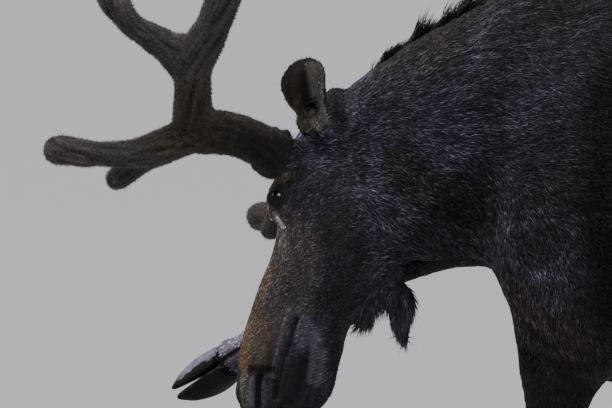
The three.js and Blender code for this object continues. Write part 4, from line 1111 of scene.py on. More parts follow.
def patched(tone, q, patches, where=1.0):
    """The colours with patches laid over them: (path, reach, edge, colour, strength)."""
    for path, reach, edge, colour, strength in patches:
        near = blended(reach + edge, reach, path_distance(q, path))
        tone = mixed(tone, colour, where * near * strength)
    return tone


# Patches of the face: path in the head frame (n, d), reach, width of the edge, colour, strength.
FACE = [
    ([(300, -85), (400, -100)], 36, 50, (0.068, 0.056, 0.048), 0.8),  # side of the face
    # orange-brown along the bridge of the nose: partly the coat's colour, partly a painted rim of back
    # light
    ([(240, -12), (300, -20), (384, -40), (414, -43), (450, -43)], 12, 18, (0.088, 0.054, 0.028), 0.85),
    ([(475, -85), (515, -90)], 24, 22, (0.098, 0.079, 0.048), 0.85),  # bulb of the nose
    ([(458, -102), (470, -104)], 6, 12, (0.055, 0.034, 0.026), 0.7),
    # orange down the front edge of the nose: partly the coat's colour, partly a painted rim of back light
    ([(451, -43), (474, -51), (496, -61), (517, -69), (531, -86)], 10, 12, (0.125, 0.070, 0.024), 0.85),
    ([(575, -145), (600, -150)], 20, 24, (0.026, 0.023, 0.024), 0.85),
    ([(520, -170), (600, -185)], 18, 20, (0.020, 0.019, 0.021), 0.8),
    ([(240, -58), (258, -72)], 8, 16, (0.065, 0.045, 0.034), 0.7),  # under the eye
    # painted shade on the lower cheek behind the mouth
    ([(354, -186), (343, -209), (250, -197)], 14, 26, (0.014, 0.013, 0.014), 0.6),
    ([(425, -160), (440, -180)], 12, 20, (0.095, 0.092, 0.112), 0.85),  # grey hair with a painted lilac sheen at the corner of the lip
    ([(488, -186), (540, -196)], 12, 12, (0.008, 0.007, 0.009), 0.95),  # bare dark lip, with painted shade under the overhanging upper lip
    (RIDGE, 4, 6, (0.105, 0.096, 0.100), 0.75),
    # painted shade in the fold of the upper lip
    (FOLD, 2.5, 6, (0.007, 0.006, 0.009), 0.9),
    ([(455, -201), (480, -210), (505, -217)], 9, 7, (0.045, 0.042, 0.044), 0.8),  # chin
    # painted shade under the overhang of the nose
    (OVERHANG, 5, 9, (0.014, 0.008, 0.007), 0.85),
    # painted highlight on the nostril's wing
    (WING, 3, 4, (0.150, 0.145, 0.165), 0.8),
    ([(556, -145), (573, -153), (588, -161)], 4, 5, (0.070, 0.058, 0.055), 0.75),
    ([(557, -97), (579, -113), (599, -125)], 6, 6, (0.135, 0.116, 0.084), 0.75),
    # painted shade inside the nostril
    (NOSTRIL, 4, 5, (0.004, 0.003, 0.004), 0.95),
    ([(202, 2), (190, -4), (183, -18), (172, -27)], 4, 9, (0.095, 0.062, 0.038), 0.75),
    ([(84, -28), (80, -50), (72, -62)], 12, 12, (0.080, 0.072, 0.074), 0.7),  # ear's foot
    (TEAR, 3.0, 4, (0.195, 0.182, 0.168), 0.9),
    (TEAR[2:], 3.0, 3, (0.460, 0.440, 0.430), 0.9),
]
# The same for the ears' insides, with paths in the ear's frame (x, y).
EAR_PATCHES = [
    ([(190, 20), (190, -14)], 16, 20, (0.085, 0.075, 0.062), 0.8),
    ([(173, 42), (109, 40)], 8, 12, (0.070, 0.043, 0.030), 0.8),
    ([(20, 8), (72, 6)], 26, 14, (0.145, 0.124, 0.078), 0.85),
    # painted shade deep in the ear's hollow
    ([(86, 8), (112, 8), (146, 4)], 9, 15, (0.006, 0.0045, 0.0035), 0.9),
    ([(190, -18), (137, -16), (78, -18), (48, -16)], 16, 10, (0.250, 0.232, 0.195), 0.85),
    # painted shade along the ear's folds
    ([(62, 26), (57, 11), (63, -4)], 1.5, 4, (0.020, 0.014, 0.011), 0.7),
    ([(74, 26), (70, 11), (76, -4)], 1.5, 4, (0.020, 0.014, 0.011), 0.7),
]
# The same for the body, with paths in the animal's frame, on both sides.
BODY = [
    # a dark olive band low on the neck: partly the coat's colour, partly painted shade
    ([(-207, 128, 1509), (-284, 137, 1465), (-335, 137, 1445)], 26, 40, (0.0130, 0.0108, 0.0070), 0.9),
    ([(-433, 190, 1275), (-486, 230, 1245), (-540, 243, 1212)], 24, 50, (0.042, 0.024, 0.015), 0.6),
    ([(-104, 50, 1606)], 12, 34, (0.038, 0.040, 0.060), 0.7),  # painted bluish sheen behind the ear
    # painted shadow of the ear on the neck just behind it
    ([(-44, 2, 1634), (-54, 26, 1616), (-64, 40, 1596), (-70, 48, 1582)], 11, 14,
     (0.006, 0.0055, 0.0055), 0.95),
    # painted shade on the trunk behind the shoulder
    ([(-620, 240, 1680), (-650, 255, 1300)], 50, 50, (0.0022, 0.0020, 0.0022), 1.0),
    # painted bluish sheen on the upper neck
    ([(-262, 125, 1622), (-304, 150, 1569)], 30, 60, (0.030, 0.030, 0.044), 0.6),
    ([(-180, 0, 1735), (-400, 0, 1860), (-700, 0, 1945)], 48, 60, (0.0105, 0.0070, 0.0050), 0.9),
    # the upper foreleg dark: partly its own dark coat, partly painted shade under the shoulder and upper
    # arm
    ([(-465, 205, 1160), (-515, 210, 1110), (-610, 190, 1065)], 34, 28, (0.0075, 0.0028, 0.0035), 0.95),
    ([(-500, 140, 1050), (-500, 120, 920)], 70, 150, (0.0066, 0.0024, 0.0030), 0.95),
]


def in_hollow(p, normal, name):
    """1 where a point of an ear is on its hollow side, else 0."""
    way = (normal @ HEAD_TURN) @ ear_matrix(EARS[name])[0]
    local = in_ear(p, name)
    cup = np.sum(local[:, 1:] * way[:, 1:], 1) < 0
    return (cup | ((local[:, 0] < 92) & (way[:, 2] > 0.15))).astype(float)


def ear_colours_and_shade(p, normal, name):
    """The colours of an ear: dark outside, brown inside with a pale rim, and painted shade deep in the
    hollow and along its folds.
    """
    local = in_ear(p, name)
    hollow = np.maximum(in_hollow(p, normal, name),
                        blended(60, 40, local[:, 0]) * blended(-20, -8, local[:, 2]))
    inner = patched(plain([0.062, 0.048, 0.035], p), local[:, :2], EAR_PATCHES)
    return mixed(plain([0.013, 0.0115, 0.0125], p), inner, hollow)


LEVEL, MOTTLE, BLACKEST = 1.1, 0.12, 0.0012  # brightness of the whole, its spread, and the least


def markings_and_painted_light(p, normal, label):
    """The coat's colour at each point, with painted light and shade laid in, linear RGB."""
    x, z = p[:, 0], p[:, 2]
    q = to_head(p)
    toe = in_lifted_foot(p)
    on_head = is_part(label, "head") * (q[:, 0] > 60)
    behind = is_part(label, "trunk", "tail") * blended(-520, -620, x)
    under = blended(1330, 1130, z) * blended(-330, -450, x)
    shanks = is_part(label, *STANDING) * blended(900, 560, z)
    raised = is_part(label, LIFTED_FOOT) * blended(40, 130, x)
    coronet = raised * blended(-4, 6, toe[:, 0]) * blended(-3, -14, toe[:, 1])
    toe_cleft_shade = raised * blended(6, 3, np.abs(toe[:, 1])) * (toe[:, 2] > 70)
    washes = (
        ([0.0305, 0.0285, 0.0405], blended(0.0, 0.9, swirl(p, 170, 11)) * 0.9),  # slate
        ([0.0190, 0.0135, 0.0100], blended(0.1, 0.9, swirl(p, 200, 13)) * 0.75),  # brown
        # painted shade behind the shoulder, which also darkens the whole hind trunk and tail
        ([0.0085, 0.0070, 0.0080], behind * 0.75),
        ([0.017, 0.0125, 0.0115], under * 0.6),
        ([0.024, 0.019, 0.015], blended(-1500, -1900, x) * 0.5),  # rump
        ([0.075, 0.064, 0.057], shanks * 0.85),
        ([0.085, 0.078, 0.105], raised * 0.9),
        ([0.330, 0.290, 0.365], raised * blended(4, -8, toe[:, 1]) * 0.9),  # painted light on the pastern's upper side
        # painted highlight on the coronet's upper side
        ([0.48, 0.48, 0.56], coronet),
        # painted shade in the cleft between the lifted foot's toes
        ([0.008, 0.006, 0.009], toe_cleft_shade * 0.95),
    )
    tone = plain([0.0212, 0.0187, 0.0230], p)
    for colour, share in washes:
        tone = mixed(tone, colour, share)
    tone = patched(tone, on_left(p), BODY)
    tone = patched(tone, q[:, [0, 2]], FACE, on_head)
    tone = mixed(tone, [0.150, 0.140, 0.140], on_head * chin_ripple(q) * 0.8)
    # near black round each eye: dark lids, with painted shade in the socket
    tone = mixed(tone, [0.006, 0.005, 0.005], on_head * blended(33, 20, from_eye(q)))
    for name in EARS:
        here = is_part(label, name)
        tone[here] = ear_colours_and_shade(p[here], normal[here], name)
    # painted light: the lower neck, and the head from the poll to past the eyes, made brighter where less
    # light reaches them
    painted_light_neck = blended(1620, 1470, z) * is_part(label, "neck")
    tone = tone * (1 + painted_light_neck + 0.25 * on_head * blended(380, 240, q[:, 0]))[:, None]
    # painted shade: the front of the trunk darker, and its low chest darker still
    front = is_part(label, "trunk") * blended(-900, -700, x)
    tone = tone * (1 - 0.12 * front - 0.2 * front * blended(1380, 1250, z))[:, None]
    return np.clip(tone * LEVEL * (1 + MOTTLE * swirl(p, 46, 12))[:, None], BLACKEST, 1)


def set_colour(obj, colours):
    """Keeps the coat's colour on the mesh's points."""
    data = obj.data.color_attributes.new("coat", "FLOAT_COLOR", "POINT")
    rgba = np.concatenate([colours, np.ones((len(colours), 1))], 1)
    data.data.foreach_set("color", rgba.astype(np.float32).ravel())


# ---- materials
def new_material(name, **values):
    """A material and its Principled node, with plain values on the node's own sockets."""
    material = bpy.data.materials.new(name)
    material.use_nodes = True
    shader = material.node_tree.nodes["Principled BSDF"]
    for key, value in values.items():
        shader.inputs[key.replace("_", " ")].default_value = value
    return material, shader


def node(material, kind, inputs=(), **settings):
    """Adds a node; inputs are (socket, value or output socket)."""
    made = material.node_tree.nodes.new(kind)
    for key, value in settings.items():
        setattr(made, key, value)
    for socket, value in inputs:
        if isinstance(value, bpy.types.NodeSocket):
            material.node_tree.links.new(value, made.inputs[socket])
        else:
            made.inputs[socket].default_value = value
    return made


def ramp(material, source, stops):
    """A colour ramp fed by source: stops are (place, colour)."""
    made = node(material, "ShaderNodeValToRGB", [("Fac", source)])
    elements = made.color_ramp.elements
    while len(elements) < len(stops):
        elements.new(0.5)
    for element, (place, colour) in zip(elements, stops):
        element.position = place
        element.color = (*colour, 1)
    return made.outputs["Color"]


def noise(material, scale, detail):
    """A noise over the object in its own space."""
    where = node(material, "ShaderNodeTexCoord").outputs["Object"]
    inputs = [("Vector", where), ("Scale", scale), ("Detail", detail)]
    return node(material, "ShaderNodeTexNoise", inputs).outputs["Fac"]


def dyed(material, shader, shade):
    """Base colour: the mesh's own colour times a shade."""
    tone = node(material, "ShaderNodeAttribute", attribute_name="coat").outputs["Color"]
    inputs = [(0, 1.0), (6, tone), (7, shade)]
    mix = node(material, "ShaderNodeMix", inputs, data_type="RGBA", blend_type="MULTIPLY")
    material.node_tree.links.new(mix.outputs[2], shader.inputs["Base Color"])


def bump(material, shader, height, strength, distance):
    """A bump on the shader from a height."""
    made = node(material, "ShaderNodeBump",
                [("Height", height), ("Strength", strength), ("Distance", distance)])
    material.node_tree.links.new(made.outputs["Normal"], shader.inputs["Normal"])


def coat_material(name, grain, depth, **values):
    """Hair: the colour of the markings and painted light, broken up by fine noise, with a soft sheen."""
    material, shader = new_material(name, **values)
    speck = noise(material, grain, 4.0)
    stops = [(0.30, (0.55,) * 3), (0.55, (1.0,) * 3), (0.78, (1.7, 1.68, 1.75))]
    dyed(material, shader, ramp(material, speck, stops))
    bump(material, shader, speck, 0.6, depth)
    return material


COOL = (0.75, 0.80, 1.0, 1)
skin_material = coat_material("short_coat", 420.0, 0.004, Roughness=0.65, Sheen_Weight=0.06,
                              Sheen_Roughness=0.4, Sheen_Tint=COOL, Specular_IOR_Level=0.2)
tuft_material = coat_material("coat_tufts", 260.0, 0.0006, Roughness=0.48, Sheen_Weight=0.045,
                              Sheen_Roughness=0.35, Sheen_Tint=COOL, Specular_IOR_Level=0.24)
velvet_material = coat_material("velvet", 300.0, 0.0022, Roughness=0.85, Sheen_Weight=0.12,
                                Sheen_Roughness=0.5, Sheen_Tint=(1.0, 0.93, 0.88, 1),
                                Specular_IOR_Level=0.12)


# ---- skin object
# How far the skin lies inside the solids, by the depth of the coat on each part.
DEPTH = {
    "trunk": 7.0, "tail": 7.0, "neck": 6.0, "head": 5.0, "bell": 5.0, "ear_left": 1.2, "ear_right": 1.2,
    "foreleg_left": 3.5, "foreleg_right": 3.5, "hindleg_left": 3.5, "hindleg_right": 3.5,
}
SKIN_SHARE = 0.6  # how bright the skin is beside its hair: darker skin, partly painted shade under the hair
normal = skin.normals()
label, _ = part_of(skin.v)
q = to_head(skin.v)
on_head = is_part(label, "head")
depth = np.array([DEPTH[name] for name in NAMES])[label]
depth[on_head] -= 3.0 * blended(60, 260, q[on_head, 0])
depth *= blended(20, 42, from_eye(q))
for _ in range(12):
    depth = 0.5 * depth + 0.5 * skin.around(depth[:, None])[:, 0]
skin.v = skin.v - normal * depth[:, None]
normal = skin.normals()
skin_object = mesh_object("skin", packed(skin.v), skin.t)
set_colour(skin_object, markings_and_painted_light(skin.v, normal, label) * SKIN_SHARE)
skin_object.data.materials.append(skin_material)
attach(skin_object, "root")
FLESH = ["trunk", "tail", "neck", "head", "bell", "lower_jaw", "ear_left", "ear_right",
         "foreleg_left", "foreleg_left_cannon", "foreleg_right", "foreleg_right_cannon",
         "hindleg_left", "hindleg_left_cannon", "hindleg_right", "hindleg_right_cannon"]
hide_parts(*FLESH)


# ---- tufts
# Corners of a tuft: share of its length, of its half width, height over its width, lightness, and
# place on its patch of the map. A short tuft is one pointed wedge, a long one has a middle section.
SHORT = {
    "corners": [(0, -1, 0, 0.55, -1, -1), (0, 1, 0, 0.55, 1, -1), (0.36, 0, 0.42, 1.0, 0, 0.2),
                (1, 0, 0, 1.7, 0, 1)],
    "faces": [(0, 2, 1), (0, 3, 2), (1, 2, 3), (0, 1, 3)],
}
LONG = {
    "corners": [(0, -1, 0, 0.5, -1, -1), (0, 1, 0, 0.5, 1, -1), (0, 0, 0.4, 0.6, 0, -0.6),
                (0.5, -0.8, 0, 1.0, -0.8, 0.1), (0.5, 0.8, 0, 1.0, 0.8, 0.1),
                (0.5, 0, 0.35, 1.1, 0, 0.4), (1, 0, 0, 1.7, 0, 1)],
    "faces": [(2, 1, 0), (4, 3, 0), (1, 4, 0), (5, 4, 1), (2, 5, 1), (3, 5, 2), (0, 3, 2),
              (4, 6, 3), (5, 6, 4), (3, 6, 5)],
}
ROOT_DEPTH = 1.0  # how far a tuft's root goes into the skin
TUFT_RISE, TUFT_DROOP = 1.25, 0.5  # how steeply a tuft leaves the skin, and bends down to its tip
PATCH = 0.0015  # half of a tuft's patch on the map
DULL, BRIGHT = 0.34, 4.2  # a tuft's darkest and the span to its palest brightness
STREAKS = 0.6  # how much the brightness runs in streaks
GREY = (0.97, 0.96, 1.10)  # the pale tufts' tint
MANE_FOOT = 1600.0  # height above which long hair is mane
BEARD_FALL = np.array([-0.05, 0, -1.0])


def tufts(name, kind, grown, chosen, material=tuft_material):
    """One piece of coat: a closed, pointed tuft at each chosen root, bending down towards its tip."""
    root, out, flow, tone, place = (grown[key][chosen] for key in ("root", "out", "flow", "tone", "place"))
    length, width, lift = (grown[key][chosen][:, None] for key in ("length", "width", "lift"))
    across = unit(np.cross(out, flow))
    verts = []
    for share, side, high, _, _, _ in kind["corners"]:
        rise = lift * length * share * (TUFT_RISE - TUFT_DROOP * share) + width * high
        rise -= ROOT_DEPTH * (share == 0)
        verts.append(root + flow * length * share + out * rise + across * width * 0.5 * side)
    faces = np.array(kind["faces"])
    first = len(verts) * np.arange(len(root))[:, None, None]
    obj = mesh_object(name, packed(np.stack(verts, 1).reshape(-1, 3)), (faces[None] + first).reshape(-1, 3))
    light = np.array([corner[3] for corner in kind["corners"]])
    set_colour(obj, (tone[:, None] * light[None, :, None]).reshape(-1, 3))
    spot = np.stack([fitted(place[:, 0]), fitted(place[:, 1])], 1)
    corner = np.array([corner[4:] for corner in kind["corners"]]) * PATCH
    uv = (spot[:, None] + corner[None])[:, faces].reshape(-1, 2)
    layer = obj.data.uv_layers.new(name="OFBake")
    layer.data.foreach_set("uv", np.clip(uv, 0, 1).astype(np.float32).ravel())
    obj.data.materials.append(material)
    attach(obj, "root")


def fitted(values):
    """Stretched to fill most of 0 to 1."""
    low, high = values.min(), values.max()
    return 0.01 + 0.98 * (values - low) / max(high - low, 1e-6)


SQUARE_CENTIMETRE = 100.0  # in square millimetres


def scattered(surface, normal, density):
    """Random roots on a surface with the given number per square centimetre at each vertex."""
    area = np.linalg.norm(facing(surface.v, surface.t), axis=1) / (2 * SQUARE_CENTIMETRE)
    want = np.cumsum(area * density[surface.t].mean(1))
    picks = np.searchsorted(want, np.arange(int(want[-1])) + dice.random(int(want[-1])))
    corners = surface.t[np.minimum(picks, len(area) - 1)]
    u, v = dice.random((2, len(picks)))
    flip = u + v > 1
    u[flip], v[flip] = 1 - u[flip], 1 - v[flip]
    mix = [m[:, None] for m in (1 - u - v, u, v)]
    root, out = (sum(values[corners[:, k]] * mix[k] for k in range(3)) for values in (surface.v, normal))
    return root, unit(out)


# Each part's short coat: tufts to the square centimetre, length, width, lift.
COAT = {
    "head": (13.0, 10.0, 1.5, 0.12), "neck": (8.5, 17.0, 1.9, 0.14), "trunk": (2.5, 25.0, 3.0, 0.14),
    "foreleg_left": (4.0, 15.0, 2.2, 0.12), "foreleg_right": (4.5, 13.0, 2.0, 0.12),
    "hindleg_left": (3.2, 15.0, 2.2, 0.12), "hindleg_right": (3.2, 15.0, 2.2, 0.12),
    "tail": (4.0, 26.0, 2.6, 0.12), "bell": (7.0, 26.0, 2.4, 0.14),
    "ear_left": (9.0, 10.0, 1.4, 0.20), "ear_right": (9.0, 10.0, 1.4, 0.20),
}
DISORDER = 0.2  # spread of the tufts' directions, in radians
SIZES, LIFTS = (0.7, 1.3), (0.3, 1.6)  # smallest and largest share of a tuft's size and lift
# What each column of COAT gains on the face, on the chest and on the crown.
COAT_CHANGES = ((2.5, 3.2, -4.0), (-2.0, -6.0, 5.0), (-0.1, -0.9, 0.4), (-0.03, 0, 0.02))
# Parts of the face with few tufts: path, reach, share of the tufts.
BARE = [
    (NOSTRIL, 9, 0), (TEAR, 4.5, 0), (WING, 5, 0.2), (CHIN, 12, 0.3), (FOLD, 5, 0.4),
    ([(488, -186), (540, -196)], 18, 0.15),
]


def coat_values(q, label, column):
    """A column of COAT at each point, with the changes inside a part."""
    values = np.array([COAT[name][column] for name in NAMES])[label]
    on_head = is_part(label, "head")
    face = blended(20, 300, q[:, 0]) * on_head
    chest = is_part(label, "trunk") * blended(-900, -700, from_head(q)[:, 0])
    by_face, by_chest, by_crown = COAT_CHANGES[column]
    return values + face * by_face + chest * by_chest + on_head * (1 - face) * by_crown


def coloured(p, out, label, place):
    """The markings and painted light, with a few tufts much paler and greyer, in fine streaks, and how pale
    each is.
    """
    light = dice.random(len(p)) ** 3
    light *= 1 - 0.6 * is_part(label, *EARS)
    light *= 1 - 0.4 * is_part(label, "head") * blended(390, 450, to_head(p)[:, 0])
    streak = swirl(np.stack([place[:, 0] * 0.25, place[:, 1] * 100, np.zeros(len(p))], 1), 8.5, 61)
    tone = markings_and_painted_light(p, out, label) * ((DULL + BRIGHT * light) * (1 + STREAKS * streak))[:, None]
    grey = 0.5 * light[:, None]
    tone = tone * (1 - grey) + tone.mean(1, keepdims=True) * np.array([GREY]) * grey
    return tone, light


def turned(flow, out, spread):
    """Each direction swung along the skin by a random angle."""
    angle = dice.normal(0, spread, len(flow))[:, None]
    return flow * np.cos(angle) + np.cross(out, flow) * np.sin(angle)


def grow(density):
    """Roots on the skin with the size, lie and colour of the short coat."""
    root, out = scattered(skin, normal, density)
    label, place = part_of(root)
    q = to_head(root)
    size = [coat_values(q, label, column) for column in (1, 2, 3)]
    tone, light = coloured(root, out, label, place)
    return {
        "root": root, "out": out, "label": label, "place": place, "q": q,
        "flow": turned(lie_of_coat(root, out, label), out, DISORDER),
        "length": size[0] * dice.uniform(*SIZES, len(root)),
        "width": size[1] * dice.uniform(*SIZES, len(root)),
        "lift": size[2] * dice.uniform(*LIFTS, len(root)) + 0.06 * light,
        "tone": tone,
    }


density = coat_values(q, label, 0)
for path, reach, share in BARE:
    density[on_head & (path_distance(q[:, [0, 2]], path) < reach)] *= share
density[from_eye(q) < 26] = 0
for name in EARS:
    here = is_part(label, name)
    local = in_ear(skin.v[here], name)
    bare = in_hollow(skin.v[here], normal[here], name) * blended(-26, -8, local[:, 1])
    bare *= blended(45, 75, local[:, 0])
    density[here] *= 1 - 0.85 * bare
short = grow(density)
for foot in FEET:
    coronet = coronet_ring(foot, 8, 0, 0, 0).mean(0)
    near = blended(75, 55, np.linalg.norm(short["root"] - coronet, axis=1))
    short["length"] *= 1 - 0.55 * near
for name in EARS:
    here = is_part(short["label"], name)
    local = in_ear(short["root"][here], name)
    hollow = in_hollow(short["root"][here], short["out"][here], name)
    short["place"][here, 1] = np.arctan2(local[:, 1], -local[:, 2]) + 2 * math.pi * hollow
along = short["root"][:, 0]
cheek_left, body_left = short["q"][:, 1] > 0, short["root"][:, 1] > 0
STRETCHES = (
    ("face", "head", cheek_left, True), ("neck", "neck", body_left, True),
    ("shoulder", "trunk", body_left, along > -900),
    ("flank", "trunk", body_left, (along <= -900) & (along > -1450)),
    ("haunch", "trunk", body_left, along <= -1450),
)
for side in ("left", "right"):
    for name, part, is_left, there in STRETCHES:
        here = is_part(short["label"], part) & (is_left == (side == "left")) & there
        tufts(f"coat_{name}_{side}", SHORT, short, here)
for name in NAMES:
    if name not in ("head", "neck", "trunk"):
        tufts(f"coat_{name}", SHORT, short, is_part(short["label"], name))

# Long hair: the mane's clumps along the crest, the bell's beard, the throat and the tail.
crest = np.abs(skin.v[:, 1] - np.interp(skin.v[:, 0], [-300, -90], [-12, -52]))
mane_here = (blended(34, 14, crest) * blended(0.2, 0.6, normal[:, 2]) * blended(-110, -160, skin.v[:, 0])
             * blended(-1000, -700, skin.v[:, 0]) * (skin.v[:, 2] > MANE_FOOT))
throat_here = (is_part(label, "neck", "head") & (skin.v[:, 2] < 1360) & (normal[:, 2] < 0.0)
               & (skin.v[:, 0] > -330) & (q[:, 0] < 250))
long_density = 13.0 * mane_here + 1.2 * throat_here
long_density[is_part(label, "bell")] = 9.0
long_density[is_part(label, "tail")] = 3.0
long = grow(long_density)
clump = swirl(long["root"] * [1, 0.5, 0.5], 42, 51)
is_bell, is_tail = (is_part(long["label"], name) for name in ("bell", "tail"))
is_mane = (long["root"][:, 2] > MANE_FOOT) & ~is_tail
kinds = [is_mane, is_bell, is_tail]
amount = dice.uniform(0.6, 1.25, len(is_mane))
rear = blended(-420, -560, long["root"][:, 0])
long["length"] = np.select(kinds, [(25 + 11 * clump) * (1 - 0.3 * rear), 40.0, 40.0], 22.0) * amount
long["width"] = np.where(is_mane, 3.0, 2.4) * dice.uniform(0.7, 1.2, len(amount))
long["lift"] = np.select(kinds, [0.75 + 0.3 * clump - 0.4 * rear, 0.10, 0.12], 0.2) * amount
pull = 0.35 * np.sin(long["root"][:, 0] / 9.0)[:, None] * is_mane[:, None]
long["flow"] = unit(long["flow"] + [0, 1, 0] * pull)
hang = unit(BEARD_FALL - long["out"] * (long["out"] @ BEARD_FALL)[:, None])
long["flow"][is_bell] = turned(hang, long["out"], 0.12)[is_bell]
long["tone"][is_mane] *= 0.7
tufts("mane", LONG, long, is_mane)
tufts("bell_beard", LONG, long, is_bell)
tufts("throat_beard", LONG, long, ~is_mane & ~is_bell & ~is_tail)
tufts("tail_hair", LONG, long, is_tail)


# ---- eyes
GLINT = ((1.8, 3.4), (-0.45, 0.85, -0.27), (0.85, 0.88, 1.0))  # a painted glint on the eyeball: radii, direction, colour
eye_material, eye_shader = new_material("eye_wet", Roughness=0.1, Specular_IOR_Level=0.16)
eye_stops = [(0.35, (0.35, 0.32, 0.30)), (0.7, (1.0, 0.95, 0.9))]
dyed(eye_material, eye_shader, ramp(eye_material, noise(eye_material, 160.0, 3.0), eye_stops))


def eye(name, side):
    """An eyeball with a clear bulge over its dark iris and a painted glint."""
    t = np.linspace(0.015, math.pi - 0.015, 40)
    bulge = EYE_RADIUS * (1 + 0.07 * np.exp(-(t / 0.5) ** 2))
    rings = turned_rings(bulge * np.sin(t), bulge * np.sin(t), bulge * np.cos(t), 56)
    axis = out_axis * [1, side, 1]
    slot = square_to(np.array([1.0, 0.0, -0.3]), axis)
    basis = np.stack([slot, np.cross(axis, slot), axis], 1)
    v, t = loft(rings @ basis.T + EYE_SPOT * [1, side, 1])
    obj = mesh_object(name, packed(from_head(v)), t)
    (near, far), way, colour = GLINT
    apart = np.linalg.norm(v * [1, side, 1] - (EYE_SPOT + EYE_RADIUS * unit(np.array(way))), axis=1)
    set_colour(obj, mixed(plain([0.008, 0.005, 0.004], v), colour, blended(far, near, apart)))
    obj.data.materials.append(eye_material)
    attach(obj, "root")
    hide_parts(name.replace("ball", "eye"))


eye("ball_left", 1)
eye("ball_right", -1)


# ---- antlers
BRANCHES = ("beam", "front_tine", "lower_tine", "stem", "front_branch", "rear_branch")
GRAIN_STRETCH = 0.12  # how much of the way along a branch counts in its grain
FUZZ_DENSITY = 6.5  # tufts of velvet to the square centimetre


def velvet_tone(p):
    """Velvet's colour: near black on the beam, paler on the tines, blue-grey skin at the burr."""
    q = to_head(p)
    out = np.abs(q[:, 1])
    tips = blended(0.0, 1.0, blended(400, 520, out) + blended(190, 250, q[:, 0]))
    tone = plain([0.0100, 0.0076, 0.0040], p)
    tone = mixed(tone, [0.0275, 0.0225, 0.0138], blended(300, 390, out))
    tone = mixed(tone, [0.0415, 0.0360, 0.0335], tips)
    tone = mixed(tone, tone * 1.8, blended(0.0, 1.0, swirl(p, 90, 21)) * 0.5)
    return mixed(tone, [0.0125, 0.0120, 0.0130], blended(185, 140, out) * 0.9)


def antler_shape(side, tine, branch):
    """One antler's branches fused into one surface, and its grain: points stretched along them."""
    paths = [(BEAM, BURR_AT + 0.004), (rounded(tine), 0), (rounded(LOWER_TINE), 0), (STEM, 0),
             (rounded(branch), 0), (rounded(REAR_BRANCH), 0)]
    web, radii = FORK_WEB
    parts = [in_head(ball(np.array(web) * [1, side, 1], radii))]
    lines = []
    for stations, start in paths:
        sided = np.array(stations, float) if side > 0 else flipped(stations)
        parts.append(in_head(loft(tube_rings(sided, 60, 40, start, 1))))
        row = curve(sided, np.linspace(start, 1, 16))
        lines.append((row[:, :3], row[:, 3]))
    shape = fused(parts, ANTLER_VOXEL)
    q = to_head(shape.v)
    free = blended(150, 180, np.abs(q[:, 1]))
    shape.smooth(free, 7)
    shape.smooth(free * 0.7, 5, keep=False)
    best = np.full(len(q), np.inf)
    grain = np.zeros((len(q), 3))
    for line in lines:
        along, _, ratio, aside = along_line(q, line)
        take_nearer(best, ratio, ((grain, aside + GRAIN_STRETCH * along[:, None]),))
    rise = 1.5 * swirl(shape.v, 55, 31) + 0.8 * swirl(grain, 15, 32) + 0.4 * swirl(grain, 8, 34)
    knobs = 1 + 0.7 * swirl(shape.v, 16, 33)
    burr = 5.5 * np.exp(-((np.abs(q[:, 1]) - 131) / 7) ** 2) * knobs
    shape.v = shape.v + shape.normals() * ((rise - 1.5) * free + burr)[:, None]
    return shape, grain


def antler(name, side, tine, branch):
    """One antler with its velvet and the fuzz on it."""
    shape, grain = antler_shape(side, tine, branch)
    obj = mesh_object(name, packed(shape.v), shape.t)
    vein = (1 + 0.5 * swirl(grain, 15, 32) + 0.35 * swirl(grain, 8, 34))[:, None]
    set_colour(obj, np.clip(velvet_tone(shape.v) * vein, 0.002, 1))
    obj.data.materials.append(velvet_material)
    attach(obj, "root")
    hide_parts(*[f"{name}_{key}" for key in BRANCHES])
    root, out = scattered(shape, shape.normals(), np.full(len(shape.v), FUZZ_DENSITY))
    q = to_head(root)
    count = len(root)
    fuzz = {
        "root": root, "out": out, "flow": unit(np.cross(out, dice.normal(size=out.shape))),
        "length": dice.uniform(1.5, 3.0, count), "width": np.full(count, 1.3),
        "lift": dice.uniform(1.4, 2.4, count),
        "tone": velvet_tone(root) * (0.5 + 2.6 * dice.random((count, 1)) ** 3),
        "place": np.stack([np.abs(q[:, 1]) - 0.6 * q[:, 0], q[:, 2] + 0.3 * q[:, 0]], 1),
    }
    tufts(f"{name}_fuzz", SHORT, fuzz, slice(None), velvet_material)


antler("antler_left", 1, FRONT_TINE, FRONT_BRANCH)
antler("antler_right", -1, FRONT_TINE_RIGHT, FRONT_BRANCH_RIGHT)

# ---- claws
horn_material, horn_shader = new_material("claw_horn", Roughness=0.55, Specular_IOR_Level=0.10)
horn_stops = [(0.3, (0.55,) * 3), (0.55, (1.0,) * 3), (0.75, (1.7, 1.7, 1.75))]
dyed(horn_material, horn_shader, ramp(horn_material, noise(horn_material, 55.0, 6.0), horn_stops))
bump(horn_material, horn_shader, noise(horn_material, 420.0, 3.0), 0.35, 0.0015)
# Claw level: share of the height, then toe, heel, width and inner wall.
CLAW_LEVELS = [
    [0, CLAW_LENGTH * 0.61, -CLAW_LENGTH * 0.34, CLAW_WIDTH * 0.90, 3],
    [0.14, CLAW_LENGTH * 0.60, -CLAW_LENGTH * 0.38, CLAW_WIDTH, 0],
    [0.42, CLAW_LENGTH * 0.43, -CLAW_LENGTH * 0.39, CLAW_WIDTH * 0.99, 0],
    [0.72, CLAW_LENGTH * 0.25, -CLAW_LENGTH * 0.375, CLAW_WIDTH * 0.94, 0],
    [1, CLAW_LENGTH * 0.10, -CLAW_LENGTH * 0.36, CLAW_WIDTH * 0.84, 2],
]
# Round a claw's section: share of its length from the heel, share of its width.
CLAW_OUTLINE = [
    [0, 0.36], [0.12, 0.04], [0.66, 0], [0.94, 0.04], [1, 0.17],
    [0.93, 0.42], [0.76, 0.78], [0.46, 1], [0.10, 0.80],
]


